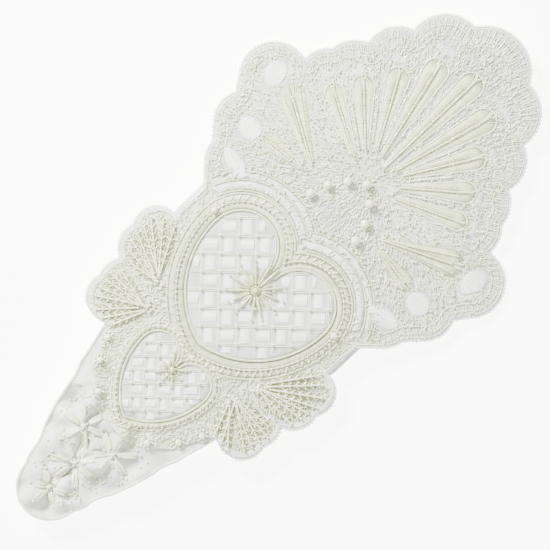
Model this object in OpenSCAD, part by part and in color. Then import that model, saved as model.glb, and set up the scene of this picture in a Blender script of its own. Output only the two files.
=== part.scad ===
// Beaded lace bridal glove: a fingerless gauntlet laid flat. +Y points to the arm, +X across.
// A soft organza sleeve closes round the wrist, a pointed panel lies over the back of the hand,
// and an elastic loop under the point goes over the middle finger.

/* [Overall] */
// Length from the wrist fold to the top of the fan
arm_len = 155; // [130:1:186]
// Length from the wrist fold to the tip of the point
hand_len = 85; // [71:1:102]
// Width across the widest scallops of the fan
fan_width = 125; // [110:1:150]
// Width of the flat sleeve at the wrist
wrist_width = 80; // [74:1:96]

/* [Lie of the cloth] */
// Height of the cloth above the table along the wrist fold
ridge_z = 10; // [9:0.5:12]
// Radius of the soft arch that the cloth makes across the glove
arch_r = 290; // [280:5:400]
// Angle at which the arm side falls from the wrist fold
arm_droop = 2; // [0:0.1:2.2]
// Angle at which the hand side falls from the wrist fold
hand_droop = 1.5; // [0:0.1:1.8]
// Clear strip along the wrist fold where only the soft cloth bends
fold_gap = 3; // [2.6:0.1:4]

/* [Cloth and stitching] */
// Thickness of the organza panels
base_t = 0.8; // [0.6:0.1:1]
// Thickness of the net that carries the embroidery
net_t = 0.6; // [0.4:0.1:0.8]
// Thickness of the satin stitching and corded bands
motif_t = 0.8; // [0.6:0.1:1.2]
// Width of the scalloped stitched border of the fan
border_w = 7; // [5:0.5:8.5]
// Width of the rolled edge round the point
binding_w = 1.2; // [1:0.1:1.8]

/* [Sleeve] */
// Distance from the wrist fold to the hand end of the under panel
sleeve_start = 13; // [11:1:16]
// Distance from the wrist fold to the arm opening
sleeve_end = 91; // [78:1:96]
// Width of the flat sleeve at the arm opening
arm_open_width = 88; // [76:1:94]
// Thickness of the side seams
seam_t = 1.2; // [1:0.1:2]
// Width of the elastic at the wrist and of the hem at the arm
elastic_w = 6; // [4:0.5:8]

/* [Hearts] */
// Half width of the large heart's window
heart_w = 27.5; // [24:0.5:28]
// Depth of the large heart from its widest line to its tip
heart_d = 34; // [30:0.5:36]
// Width of the corded band round the large heart
heart_band = 6; // [4:0.5:6.5]
// Half width of the small heart's window
small_heart_w = 15.5; // [13:0.5:17]
// Depth of the small heart from its widest line to its tip
small_heart_d = 24.5; // [21:0.5:26]
// Width of the corded band round the small heart
small_heart_band = 3; // [2:0.5:3.5]
// Spacing of the lattice threads in the large heart
lattice_pitch = 6.4; // [5:0.1:7.5]
// Width of one lattice thread
thread_w = 0.9; // [0.6:0.1:1.2]

/* [Beads] */
// Radius of a bugle bead
bugle_r = 0.6; // [0.4:0.05:0.7]
// Radius of the pearls in the arc below the fan
pearl_r = 1.6; // [1.2:0.1:1.9]
// Radius of the small pearls at the edges
small_pearl_r = 1.2; // [0.9:0.1:1.4]

/* [Finger loop] */
// Length of the elastic finger loop along the hand
loop_len = 24; // [20:1:29]
// Outside width of the finger loop
loop_w = 15; // [12.5:0.5:18]
// Height of the elastic band of the loop
loop_h = 4.5; // [4:0.1:5]
// Thickness of the elastic band
loop_t = 0.8; // [0.6:0.1:1]

/* [Hidden] */

organza = [0.94, 0.94, 0.91];
net_white = [0.90, 0.91, 0.87];
cream = [0.89, 0.89, 0.80];
satin_white = [0.97, 0.97, 0.95];
bead_cream = [0.93, 0.93, 0.82];
pearl = [0.96, 0.94, 0.87];

// The wrist fold's place along the glove, with the origin midway between the two ends
fold_y = hand_len - (arm_len + hand_len) / 2;
half_gap = fold_gap / 2;
// How far the embroidery's layout is stretched from its drawn size
kx_fan = fan_width / 125;
kx_wrist = wrist_width / 80;
ky_arm = arm_len / 155;
ky_hand = hand_len / 85;
// Heights of the layers above the underside of the organza
net_z = base_t;
motif_z = net_z + net_t;
top_z = motif_z + motif_t;
lattice_t = motif_t / 2;
// Clearance between two pieces of embroidery that lie side by side
side_gap = 0.3;
// The sleeve widens from the fold to the first distance and keeps its width to the second
wide_from = 27 * ky_arm;
wide_to = 44 * ky_arm;
// How far the lace net stops short of the sleeve's sides
net_inset = 1.5;
// How far the back panel runs on past the under panel at the arm opening
opening_step = 0.5;
under_end = sleeve_end - opening_step;
// Share of its step that a sewn bugle bead fills
bead_share = 0.82;

// Each scallop of the fan: how far out, how far from the wrist fold, and its radius
fan_lobes = [
    [0, 139, 16], [14.5, 133.5, 13.5], [24, 119.5, 12], [31, 105, 12], [37, 97.5, 10],
    [50.3, 84, 12.2], [46, 65.5, 10.7], [38.6, 52.8, 9.8]
];
// Scallops of the two sprays, on the arm side and on the hand side of the wrist fold
upper_lobes = [[39.5, 16.5, 8.3], [38, 9, 9]];
lower_lobes = [[33.5, -5, 9], [33, -11.5, 9]];
// Petals of the fan: root, end, and the radius of the rounded end
fan_petal_list = [
    [[3.5, 92], [12.2, 126.5], 4.6], [[6.5, 92.5], [19.5, 115], 4.2],
    [[9, 89], [26, 104.5], 4.0], [[10.5, 85], [31.5, 95.5], 3.4]
];
centre_petal = [[0, 89], [0, 132], 4.6];
side_petal_list = [[[18.7, 72], [40.5, 83.5], 5], [[20, 68.5], [34, 67], 3.3]];
// White satin insets between the petals and the border
inset_list = [[47.5, 83.5, 6.2], [42.2, 65.5, 4.3], [37, 52.3, 4]];
// Pearls of the arc, the middle one first
arc_list = [[0, 81], [5.5, 77], [9.5, 71], [11.5, 64.5]];
heart_y = 34 * ky_arm;
small_heart_y = -12.5 * ky_hand;
// Radius of a heart's round lobe as a share of its half width
lobe_share = 0.47;
heart_lobe = heart_w * lobe_share;
small_heart_lobe = small_heart_w * lobe_share;
// How much faster a heart grows at its tip than at its sides
tip_growth = 1.3;
flower_y = heart_y - 7 * ky_arm;
small_flower_y = small_heart_y - 1;
// The pale scrolls run round the large heart's band between these two distances from it
scroll_in = 1;
scroll_out = 4.5;
// Hub and bead tips of the two sprays
upper_hub = [27.5, 6.5];
upper_tips = [[42, 5], [43.5, 10.5], [43, 17], [38, 20]];
lower_hub = [23, -4.5];
lower_tips = [[39.5, -4.5], [39, -10], [36, -15.5], [29, -18]];
// Share of the way from hub to tip that stays free of beads
hub_share = 0.22;
edge_pearl_list = [[24, -22], [20, -29.5], [12.5, -37.5]];
star_pt = [7.2, -49.5];
star_centre_y = -61;
// Corners of the point: half width and distance from the fold
point_shoulder = [28 * kx_wrist, -21 * ky_hand];
point_waist = [20 * kx_wrist, -51 * ky_hand];
tip_r = 12;
fold_half = wrist_width / 2 - 7;
loop_pivot_y = -hand_len + 4.4;
loop_drop = 0.35;
round_fn = 96;
arch_fn = 720;

function fan_pt(p) = [p[0] * kx_fan, p[1] * ky_arm];
function wrist_pt(p, ky) = [p[0] * kx_wrist, p[1] * ky];
// Closes an outline by repeating its right half, listed from bottom to top, on the left
function symmetric(right) = concat(right,
    [for (i = [len(right) - 1 : -1 : 0]) if (right[i][0] > 0) [-right[i][0], right[i][1]]]);
function length_of(v) = sqrt(v[0] * v[0] + v[1] * v[1]);
// Half width of the sleeve at a distance from the wrist fold
function sleeve_half(y) =
    y < wide_from ? fold_half + (wrist_width / 2 - fold_half) * y / wide_from :
    y < wide_to ? wrist_width / 2 :
    wrist_width / 2 + (arm_open_width - wrist_width) / 2 * (y - wide_to) / (sleeve_end - wide_to);

// --- Frames: local y is measured from the wrist fold, local z from the underside of the cloth
module arm_frame() {
    translate([0, fold_y, ridge_z]) rotate([-arm_droop, 0, 0]) children();
}

module hand_frame() {
    translate([0, fold_y, ridge_z]) rotate([hand_droop, 0, 0]) children();
}

// A layer of cloth with the arch's curve, between two heights, cut to a flat outline
module layer(z0, z1) {
    reach = 2 * (arm_len + hand_len);
    intersection() {
        translate([0, 0, -arch_r]) rotate([90, 0, 0]) difference() {
            cylinder(r = arch_r + z1, h = reach, center = true, $fn = arch_fn);
            cylinder(r = arch_r + z0, h = reach + 2, center = true, $fn = arch_fn);
        }
        translate([0, 0, -ridge_z - 4]) linear_extrude(ridge_z + 12) children();
    }
}

// Puts a piece on the arched cloth at a height, upright to its surface
module on_cloth(x, y, z) {
    translate([0, y, -arch_r]) rotate([0, asin(x / (arch_r + z)), 0])
        translate([0, 0, arch_r + z]) children();
}

module round_bead(p, z, r) {
    on_cloth(p[0], p[1], z + r) sphere(r = r, $fn = 24);
}

// A row of bugle beads sewn end to end from one point to another
module bugle_row(a, b, z, count) {
    v = b - a;
    step = length_of(v) / count;
    for (i = [0 : count - 1]) {
        m = a + v * (i + 0.5) / count;
        on_cloth(m[0], m[1], z + bugle_r) rotate([0, 0, atan2(v[1], v[0])]) rotate([0, 90, 0])
            cylinder(r = bugle_r, h = step * bead_share, center = true, $fn = 16);
    }
}

// A sewn flower: rays of bugle beads round one round bead
module bead_flower(p, z, rays, r_in, r_out) {
    round_bead(p, z, r_in * 0.55);
    for (i = [0 : rays - 1]) {
        d = [cos(i * 360 / rays), sin(i * 360 / rays)];
        bugle_row(p + d * r_in, p + d * r_out, z, 1);
    }
}

// --- Flat outlines
module disc(p, r) {
    translate(p) circle(r = r, $fn = round_fn);
}

// Discs on both sides of the middle line
module disc_pairs(list, kx, ky, inset = 0) {
    for (s = [-1, 1]) for (l = list) disc([s * l[0] * kx, l[1] * ky], l[2] - inset);
}

// Keeps what lies on the arm side of the clear strip, or on the hand side
module arm_zone() {
    intersection() {
        children();
        translate([-fan_width, half_gap]) square([2 * fan_width, 2 * arm_len]);
    }
}

module hand_zone() {
    intersection() {
        children();
        translate([-fan_width, -half_gap - 2 * hand_len]) square([2 * fan_width, 2 * hand_len]);
    }
}

// A petal with a narrow root and a round end; grow widens it all round
module petal(root, tip, r, grow = 0) {
    v = tip - root;
    u = v / length_of(v);
    n = [-u[1], u[0]];
    root_r = 0.5 + grow;
    end_r = (r + grow) * 0.93;
    polygon([root + n * root_r, root - n * root_r, tip - n * end_r, tip + n * end_r]);
    disc(tip, r + grow);
}

// The scallop-shell outline of the fan; inset draws the scallops smaller
module fan_outline(inset = 0) {
    disc_pairs(fan_lobes, kx_fan, ky_arm, inset);
    polygon(symmetric(concat([[wrist_width / 2 - net_inset, wide_to]],
        [for (i = [len(fan_lobes) - 1 : -1 : 0]) fan_pt(fan_lobes[i])])));
}

// Right half of a heart: a round lobe above its widest line, then one long arc to its tip
function heart_half(w, d, lobe) =
    let (
        n = 12, c = w - lobe, a = (d * d - w * w) / (2 * w), tip_angle = atan2(d, a),
        start = c >= lobe ? 180 : acos(-c / lobe)
    )
    concat(
        [for (i = [0 : n]) [c + lobe * cos(start * (1 - i / n)), lobe * sin(start * (1 - i / n))]],
        [for (i = [1 : n]) [(w + a) * cos(tip_angle * i / n) - a, -(w + a) * sin(tip_angle * i / n)]]
    );

// A heart with its widest line at y = 0, its tip at -d and two round lobes
module heart(w, d, lobe) {
    right = heart_half(w, d, lobe);
    first = w - lobe >= lobe ? 0 : 1;
    polygon(concat(right, [for (i = [len(right) - 2 : -1 : first]) [-right[i][0], right[i][1]]]));
}

module large_heart(grow = 0) {
    translate([0, heart_y]) heart(heart_w + grow, heart_d + grow * tip_growth, heart_lobe + grow);
}

module small_heart(grow = 0) {
    translate([0, small_heart_y])
        heart(small_heart_w + grow, small_heart_d + grow * tip_growth, small_heart_lobe + grow);
}

// Disc round the large heart's lobe that the pale scroll runs on
module scroll_disc(grow, side = 1) {
    disc([side * (heart_w - heart_lobe), heart_y], heart_lobe + heart_band + grow);
}

module sleeve_outline() {
    polygon(symmetric([
        [sleeve_half(half_gap), half_gap], [wrist_width / 2, wide_from],
        [wrist_width / 2, wide_to], [arm_open_width / 2, sleeve_end]
    ]));
}

module point_outline(inset = 0) {
    polygon(symmetric([
        [tip_r - inset - 0.2, -hand_len + tip_r + 1], point_waist - [inset, 0],
        point_shoulder - [inset, 0], [fold_half - 0.3 - inset, -half_gap]
    ]));
    disc([0, -hand_len + tip_r], tip_r - inset);
}

module upper_spray_outline() {
    difference() {
        arm_zone() union() {
            for (l = upper_lobes) disc(wrist_pt(l, ky_arm), l[2]);
            polygon([wrist_pt(upper_lobes[0], ky_arm), wrist_pt([33, 22], ky_arm),
                wrist_pt([20, 9], ky_arm), [20 * kx_wrist, 0], [38 * kx_wrist, 0]]);
        }
        large_heart(heart_band + side_gap);
    }
}

module lower_spray_outline() {
    difference() {
        hand_zone() union() {
            for (l = lower_lobes) disc(wrist_pt(l, ky_hand), l[2]);
            polygon([[36 * kx_wrist, 0], [14 * kx_wrist, 0], wrist_pt([17, -10], ky_hand),
                wrist_pt([24, -18.5], ky_hand), wrist_pt(lower_lobes[1], ky_hand)]);
        }
        small_heart(small_heart_band + side_gap);
    }
}

// --- Sleeve
module back_panel() {
    color(organza) arm_frame() layer(0, base_t) sleeve_outline();
}

// Plan of the sleeve's underside between two distances from the fold
module under_outline(y0, y1, inset = 0) {
    intersection() {
        polygon(symmetric([
            [sleeve_half(0) - inset, 0], [wrist_width / 2 - inset, wide_from],
            [wrist_width / 2 - inset, wide_to], [arm_open_width / 2 - inset, sleeve_end]
        ]));
        translate([-fan_width, y0]) square([2 * fan_width, y1 - y0]);
    }
}

module flat_on_table(z, t) {
    translate([0, fold_y, z]) linear_extrude(t) children();
}

module under_panel() {
    color(organza) flat_on_table(0, base_t) under_outline(sleeve_start, under_end);
}

module side_seam() {
    intersection() {
        flat_on_table(base_t, ridge_z) intersection() {
            difference() {
                under_outline(sleeve_start, under_end);
                under_outline(0, sleeve_end, seam_t);
            }
            square([fan_width, 2 * arm_len]);
        }
        arm_frame() translate([0, 0, -arch_r]) rotate([90, 0, 0])
            cylinder(r = arch_r, h = 4 * arm_len, center = true, $fn = arch_fn);
    }
}

module side_seam_left() {
    color(organza) mirror([1, 0, 0]) side_seam();
}

module side_seam_right() {
    color(organza) side_seam();
}

module wrist_elastic() {
    color(satin_white) flat_on_table(base_t, net_t)
        under_outline(sleeve_start, sleeve_start + elastic_w, seam_t + side_gap);
}

module arm_hem() {
    color(satin_white) flat_on_table(base_t, net_t)
        under_outline(under_end - elastic_w, under_end, seam_t + side_gap);
}

// --- Lace of the arm side
module arm_lace_ground() {
    color(net_white) arm_frame() layer(net_z, motif_z) arm_zone() {
        fan_outline();
        disc_pairs(upper_lobes, kx_wrist, ky_arm);
        polygon(symmetric([
            [38 * kx_wrist, 0], wrist_pt(upper_lobes[1], ky_arm), wrist_pt(upper_lobes[0], ky_arm),
            [wrist_width / 2 - net_inset, wide_from - 3], [wrist_width / 2 - net_inset, wide_to + 2]
        ]));
    }
}

module fan_border() {
    color(net_white) arm_frame() layer(motif_z, top_z) difference() {
        fan_outline();
        fan_outline(border_w);
        for (s = [-1, 1]) scroll_disc(scroll_out + side_gap, s);
    }
}

module fan_petals() {
    color(cream) arm_frame() layer(motif_z, top_z) {
        for (s = [-1, 1]) for (p = fan_petal_list)
            petal(fan_pt([s * p[0][0], p[0][1]]), fan_pt([s * p[1][0], p[1][1]]), p[2]);
        petal(fan_pt(centre_petal[0]), fan_pt(centre_petal[1]), centre_petal[2]);
    }
}

module fan_rib_beads() {
    color(bead_cream) arm_frame() {
        for (s = [-1, 1]) for (p = fan_petal_list)
            bugle_row(fan_pt([s * p[0][0], p[0][1]]), fan_pt([s * p[1][0], p[1][1]]), top_z, 6);
        bugle_row(fan_pt(centre_petal[0]), fan_pt(centre_petal[1]), top_z, 8);
    }
}

module side_petals() {
    for (p = side_petal_list) petal(fan_pt(p[0]), fan_pt(p[1]), p[2]);
}

module side_petals_left() {
    color(cream) arm_frame() layer(motif_z, top_z) mirror([1, 0]) side_petals();
}

module side_petals_right() {
    color(cream) arm_frame() layer(motif_z, top_z) side_petals();
}

module satin_insets() {
    difference() {
        intersection() {
            fan_outline(border_w + side_gap);
            for (i = inset_list) disc(fan_pt(i), i[2]);
        }
        for (p = side_petal_list) petal(fan_pt(p[0]), fan_pt(p[1]), p[2], side_gap);
        scroll_disc(scroll_out + side_gap);
    }
}

module satin_insets_left() {
    color(satin_white) arm_frame() layer(motif_z, top_z) mirror([1, 0]) satin_insets();
}

module satin_insets_right() {
    color(satin_white) arm_frame() layer(motif_z, top_z) satin_insets();
}

module pearl_arc() {
    color(pearl) arm_frame() for (p = arc_list) for (s = p[0] == 0 ? [1] : [-1, 1])
        round_bead(fan_pt([s * p[0], p[1]]), motif_z, pearl_r);
}

// --- Hearts
module heart_band() {
    color(cream) arm_frame() layer(motif_z, top_z) arm_zone() difference() {
        large_heart(heart_band);
        large_heart();
    }
}

// Parallel threads at 45 degrees across a window
module threads(angle, pitch, span) {
    for (i = [-floor(span / pitch) : floor(span / pitch)])
        rotate(angle) translate([-span, i * pitch - thread_w / 2]) square([2 * span, thread_w]);
}

module heart_lattice() {
    color(satin_white) arm_frame() for (k = [0, 1])
        layer(motif_z + k * lattice_t, motif_z + (k + 1) * lattice_t) arm_zone() intersection() {
            large_heart(-side_gap);
            translate([0, flower_y]) threads(k == 0 ? 45 : -45, lattice_pitch, heart_w);
        }
}

module heart_flower() {
    color(bead_cream) arm_frame()
        bead_flower([0, flower_y], top_z, 10, 2.6, 9.6);
}

module scroll() {
    difference() {
        scroll_disc(scroll_out);
        scroll_disc(scroll_in);
        scale([-1, 1]) translate([-side_gap / 2, -arm_len]) square([arm_len, 3 * arm_len]);
        translate([-arm_len, -arm_len]) square([3 * arm_len, arm_len + heart_y + 8]);
    }
}

module scroll_left() {
    color(net_white) arm_frame() layer(motif_z, top_z) mirror([1, 0]) scroll();
}

module scroll_right() {
    color(net_white) arm_frame() layer(motif_z, top_z) scroll();
}

module shoulder_pearls() {
    color(pearl) arm_frame() for (s = [-1, 1])
        round_bead([s * (heart_w + heart_band / 2), heart_y + 2], top_z, small_pearl_r);
}

module small_heart_band() {
    color(cream) hand_frame() layer(motif_z, top_z) hand_zone() difference() {
        small_heart(small_heart_band);
        small_heart();
    }
}

module small_heart_lattice() {
    color(satin_white) hand_frame() for (k = [0, 1])
        layer(motif_z + k * lattice_t, motif_z + (k + 1) * lattice_t) intersection() {
            small_heart(-side_gap);
            translate([0, small_flower_y])
                threads(k == 0 ? 45 : -45, lattice_pitch * 0.75, small_heart_d);
        }
}

module small_heart_flower() {
    color(bead_cream) hand_frame()
        bead_flower([0, small_flower_y], top_z, 8, 1.9, 5.4);
}

// --- Sprays
module upper_spray_beads() {
    hub = wrist_pt(upper_hub, ky_arm);
    for (e = upper_tips) {
        tip = wrist_pt(e, ky_arm);
        bugle_row(hub + (tip - hub) * hub_share, tip, top_z, 3);
    }
}

module upper_spray_lace_left() {
    color(cream) arm_frame() layer(motif_z, top_z) mirror([1, 0]) upper_spray_outline();
}

module upper_spray_lace_right() {
    color(cream) arm_frame() layer(motif_z, top_z) upper_spray_outline();
}

module upper_spray_beads_left() {
    color(bead_cream) arm_frame() mirror([1, 0, 0]) upper_spray_beads();
}

module upper_spray_beads_right() {
    color(bead_cream) arm_frame() upper_spray_beads();
}

module lower_spray_beads() {
    hub = wrist_pt(lower_hub, ky_hand);
    for (e = lower_tips) {
        tip = wrist_pt(e, ky_hand);
        bugle_row(hub + (tip - hub) * hub_share, tip, top_z, 3);
    }
}

module lower_spray_lace_left() {
    color(cream) hand_frame() layer(motif_z, top_z) mirror([1, 0]) lower_spray_outline();
}

module lower_spray_lace_right() {
    color(cream) hand_frame() layer(motif_z, top_z) lower_spray_outline();
}

module lower_spray_beads_left() {
    color(bead_cream) hand_frame() mirror([1, 0, 0]) lower_spray_beads();
}

module lower_spray_beads_right() {
    color(bead_cream) hand_frame() lower_spray_beads();
}

// --- Point over the back of the hand
module point_panel() {
    color(organza) hand_frame() layer(0, base_t) point_outline();
}

module point_binding() {
    color(satin_white) hand_frame() layer(net_z, motif_z) difference() {
        point_outline();
        point_outline(binding_w);
        translate([-fan_width, point_shoulder[1] - 1]) square([2 * fan_width, hand_len]);
    }
}

module hand_lace_ground() {
    color(net_white) hand_frame() layer(net_z, motif_z) hand_zone() {
        disc_pairs(lower_lobes, kx_wrist, ky_hand);
        polygon(symmetric([for (p = [[9, -43], [20.5, -33], [25.5, -22], [33, -11.5], [33.5, -5],
            [33.5, 0]]) wrist_pt(p, ky_hand)]));
    }
}

module edge_pearls() {
    color(pearl) hand_frame() for (p = edge_pearl_list) for (s = [-1, 1])
        round_bead(wrist_pt([s * p[0], p[1]], ky_hand), motif_z, small_pearl_r);
}

module star_left() {
    color(bead_cream) hand_frame() bead_flower([-star_pt[0], star_pt[1] * ky_hand], net_z, 6, 1.8, 6.2);
}

module star_right() {
    color(bead_cream) hand_frame() bead_flower([star_pt[0], star_pt[1] * ky_hand], net_z, 6, 1.8, 6.2);
}

module star_centre() {
    color(bead_cream) hand_frame() bead_flower([0, star_centre_y * ky_hand], net_z, 8, 2, 7);
}

module tip_cluster() {
    color(bead_cream) hand_frame() bead_flower([0, -hand_len + tip_r - 0.6], net_z, 6, 1.7, 4.4);
}

// --- Finger loop under the tip of the point
module loop_tack() {
    tack_top = loop_h + loop_drop;
    color(satin_white) intersection() {
        translate([0, fold_y + loop_pivot_y, tack_top]) cylinder(r = 1.5, h = ridge_z, $fn = 32);
        hand_frame() translate([0, 0, -arch_r]) rotate([90, 0, 0])
            cylinder(r = arch_r, h = 4 * hand_len, center = true, $fn = arch_fn);
    }
}

// An upright band of elastic bent into a long ring
module ring_outline(inset) {
    r = loop_w / 2;
    y0 = loop_pivot_y - loop_t / 2 + r;
    y1 = y0 + loop_len - loop_w;
    disc([0, y0], r - inset);
    disc([0, y1], r - inset);
    translate([-r + inset, y0]) square([loop_w - 2 * inset, y1 - y0]);
}

module finger_loop() {
    color(satin_white) translate([0, fold_y, 0]) linear_extrude(loop_h) difference() {
        ring_outline(0);
        ring_outline(loop_t);
    }
}

back_panel();
under_panel();
side_seam_left();
side_seam_right();
wrist_elastic();
arm_hem();
arm_lace_ground();
fan_border();
fan_petals();
fan_rib_beads();
side_petals_left();
side_petals_right();
satin_insets_left();
satin_insets_right();
pearl_arc();
heart_band();
heart_lattice();
heart_flower();
scroll_left();
scroll_right();
shoulder_pearls();
upper_spray_lace_left();
upper_spray_lace_right();
upper_spray_beads_left();
upper_spray_beads_right();
point_panel();
point_binding();
hand_lace_ground();
small_heart_band();
small_heart_lattice();
small_heart_flower();
lower_spray_lace_left();
lower_spray_lace_right();
lower_spray_beads_left();
lower_spray_beads_right();
edge_pearls();
star_left();
star_right();
star_centre();
tip_cluster();
loop_tack();
finger_loop();
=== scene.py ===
# %% [markdown]
# # A beaded lace bridal glove
# This lesson builds the looks of a fingerless bridal glove that lies flat on a pale table: soft
# organza, net, satin stitching, cords, bugle beads and pearls. The frame holds the glove's real
# size and its joints. Every piece here is laid over that frame, in metres, +Y towards the arm.

# %% Load the frame
import bpy
import numpy as np
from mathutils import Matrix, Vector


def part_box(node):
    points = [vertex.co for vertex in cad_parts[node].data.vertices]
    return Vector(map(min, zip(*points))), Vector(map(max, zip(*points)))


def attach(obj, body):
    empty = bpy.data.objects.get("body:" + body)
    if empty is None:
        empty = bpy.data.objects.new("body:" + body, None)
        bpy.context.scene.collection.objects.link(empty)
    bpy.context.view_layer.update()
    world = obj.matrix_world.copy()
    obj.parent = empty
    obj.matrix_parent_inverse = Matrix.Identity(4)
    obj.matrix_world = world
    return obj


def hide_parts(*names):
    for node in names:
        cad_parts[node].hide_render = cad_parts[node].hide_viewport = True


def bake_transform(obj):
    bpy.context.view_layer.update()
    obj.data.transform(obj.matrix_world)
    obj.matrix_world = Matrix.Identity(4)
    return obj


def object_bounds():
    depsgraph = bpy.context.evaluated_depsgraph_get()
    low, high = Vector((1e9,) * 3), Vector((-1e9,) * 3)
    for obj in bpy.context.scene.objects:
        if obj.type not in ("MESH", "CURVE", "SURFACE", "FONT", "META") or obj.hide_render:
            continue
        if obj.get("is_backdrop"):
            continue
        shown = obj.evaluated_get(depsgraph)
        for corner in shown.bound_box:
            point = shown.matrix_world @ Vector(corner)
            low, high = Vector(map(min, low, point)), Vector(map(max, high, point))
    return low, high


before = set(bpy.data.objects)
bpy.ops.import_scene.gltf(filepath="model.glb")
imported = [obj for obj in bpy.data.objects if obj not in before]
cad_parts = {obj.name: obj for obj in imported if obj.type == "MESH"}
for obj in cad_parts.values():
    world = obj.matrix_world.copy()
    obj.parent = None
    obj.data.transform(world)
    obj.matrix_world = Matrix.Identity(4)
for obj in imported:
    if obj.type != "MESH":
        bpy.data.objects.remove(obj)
cad_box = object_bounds()
MM = 0.001
print("frame:", len(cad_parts), "nodes, box", [round(v / MM, 1) for v in cad_box[1] - cad_box[0]], "mm")

# %% [markdown]
# ## Measures taken from the frame
# A scene that repeats numbers drifts away from its design. The main lengths are read back from
# the boxes of the frame's nodes, so the embroidery follows them. The glove is drawn in
# millimetres from its wrist fold and turned to metres only when a mesh is made.

# %% Read the main lengths
def node_box(name):
    """Lowest and highest corner of a node, in millimetres."""
    low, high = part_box(name)
    return np.array(low) / MM, np.array(high) / MM


net_low, net_high = node_box("arm_lace_ground")
point_low = node_box("point_panel")[0]
panel_high = node_box("back_panel")[1]
FOLD_Y = (net_low[1] + node_box("hand_lace_ground")[1][1]) / 2
ARM_LEN = net_high[1] - FOLD_Y
HAND_LEN = FOLD_Y - point_low[1]
FAN_HALF = net_high[0]
ARM_END = panel_high[1] - FOLD_Y
ARM_END_HALF = panel_high[0]
WRIST_HALF = ARM_END_HALF - 4.0
RIDGE, ARCH_R = 10.0, 290.0
ARM_FALL, HAND_FALL = np.tan(np.radians(2.0)), np.tan(np.radians(1.5))
BASE_T, NET_T = 0.8, 0.6
print("fold at y", round(FOLD_Y, 2), "arm side", round(ARM_LEN, 1), "hand side", round(HAND_LEN, 1))

# %% [markdown]
# ## The lie of the cloth
# A glove on a table is not a board. It stands highest along the wrist, where the sleeve holds it
# up, falls a little towards both ends and arches across. One height function describes that lie,
# with soft ripples added, and every thread and bead is placed on it, so nothing floats or sinks.

# %% Height of the cloth
def smooth_step(t):
    """0 below 0, 1 above 1, and 3t^2 - 2t^3 between."""
    t = np.clip(t, 0, 1)
    return t * t * (3 - 2 * t)


def ripple(x, y):
    """Soft waves of the whole cloth: three products and sums of sines, under half a millimetre."""
    wave = 0.20 * np.sin(x / 7.3 + 0.6) * np.sin(y / 9.1 + 1.1)
    wave = wave + 0.12 * np.sin(x / 4.1 - y / 5.7 + 2.0)
    return wave + 0.10 * np.sin(x / 11.0 + y / 3.9 + 0.4)


STAR_PULLS = np.array([[-7.2, -49.5, 5, 0.3], [7.2, -49.5, 5, 1.9], [0, -61, 7, 0.4], [0.5, -72, 5, 1.2]])


def pucker(x, y):
    """Gathers of the bare organza below the hearts. Each star pulls folds towards itself,
    cos(n angle + turn) in a ring 7.5 mm out, over slow waves that wander from side to side."""
    share = smooth_step((-24.0 - y) / 16.0)
    folds = 0.80 * np.sin(x / 2.4 + y / 8.0 + 1.3 * np.sin(y / 6.1))
    folds = folds + 0.70 * np.sin(y / 2.3 + 0.9 * np.sin(x / 4.3 + 0.5))
    crease = x / 3.4 - y / 5.2 + 1.2 * np.sin(y / 7.7 + 0.8)
    folds = folds + 0.9 * (0.6 - np.abs(np.sin(crease)) ** 0.7)
    folds = folds + 0.25 * np.sin(x / 1.3 - y / 3.7 + 1.1 * np.sin(y / 3.3))
    for star_x, star_y, count, turn in STAR_PULLS:
        away = np.hypot(x - star_x, y - star_y)
        angle = np.arctan2(y - star_y, x - star_x)
        ring = np.exp(-(((away - 7.5) / 4.5) ** 2))
        folds = folds + 1.25 * ring * np.cos(count * angle + turn + away / 5.0)
        folds = folds - 0.35 * np.exp(-((away / 2.5) ** 2))
    return share * folds


def cloth_z(x, y, level=0.0):
    """Height of a layer over the table for a point measured from the wrist fold: the ridge, less
    the fall to each end (rounded at the fold), less the arch's drop R - sqrt(R^2 - x^2), plus
    ripples, puckers and the layer's own level above the organza's underside."""
    bend = 12.0
    fall = np.where(y > 0, ARM_FALL, HAND_FALL) * (np.sqrt(y * y + bend * bend) - bend)
    arch = ARCH_R - np.sqrt(ARCH_R**2 - x * x)
    return RIDGE - fall - arch + ripple(x, y) + pucker(x, y) + level


ON_ORGANZA = BASE_T
ON_NET = BASE_T + NET_T
print("net is", round(float(cloth_z(np.zeros(1), np.zeros(1), ON_NET)[0]), 2), "mm high at the fold")

# %% [markdown]
# ## One maker for threads, cords, beads and pearls
# A thread, a cord, a bugle bead and a pearl are the same surface: a ring carried along a path,
# with a radius that changes on the way. The whole set is worked out as arrays, so thousands of
# stitches cost one call. The last ring closes on a pole, so each one is a closed solid, and the
# piece's own UV map runs along it in millimetres and once round it, for twisted thread.

# %% Meshes from arrays
def add_mesh(name, points, faces, uv=None):
    """A mesh object from points in millimetres and a list of face arrays of equal width each."""
    mesh = bpy.data.meshes.new(name)
    loops = np.concatenate([f.ravel() for f in faces]).astype(np.int32)
    sizes = np.concatenate([np.full(len(f), f.shape[1]) for f in faces]).astype(np.int32)
    mesh.vertices.add(len(points))
    mesh.vertices.foreach_set("co", (np.asarray(points) * MM).astype(np.float32).ravel())
    mesh.loops.add(len(loops))
    mesh.loops.foreach_set("vertex_index", loops)
    mesh.polygons.add(len(sizes))
    mesh.polygons.foreach_set("loop_start", (np.cumsum(sizes) - sizes).astype(np.int32))
    mesh.polygons.foreach_set("use_smooth", np.full(len(sizes), True))
    if uv is not None:
        layer = mesh.uv_layers.new(name="UVMap")
        flat = np.concatenate([u.reshape(-1, 2) for u in uv]).astype(np.float32)
        layer.uv.foreach_set("vector", flat.ravel())
    mesh.update(calc_edges=True)
    mesh.validate()
    piece = bpy.data.objects.new(name, mesh)
    bpy.context.scene.collection.objects.link(piece)
    return piece


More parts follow.
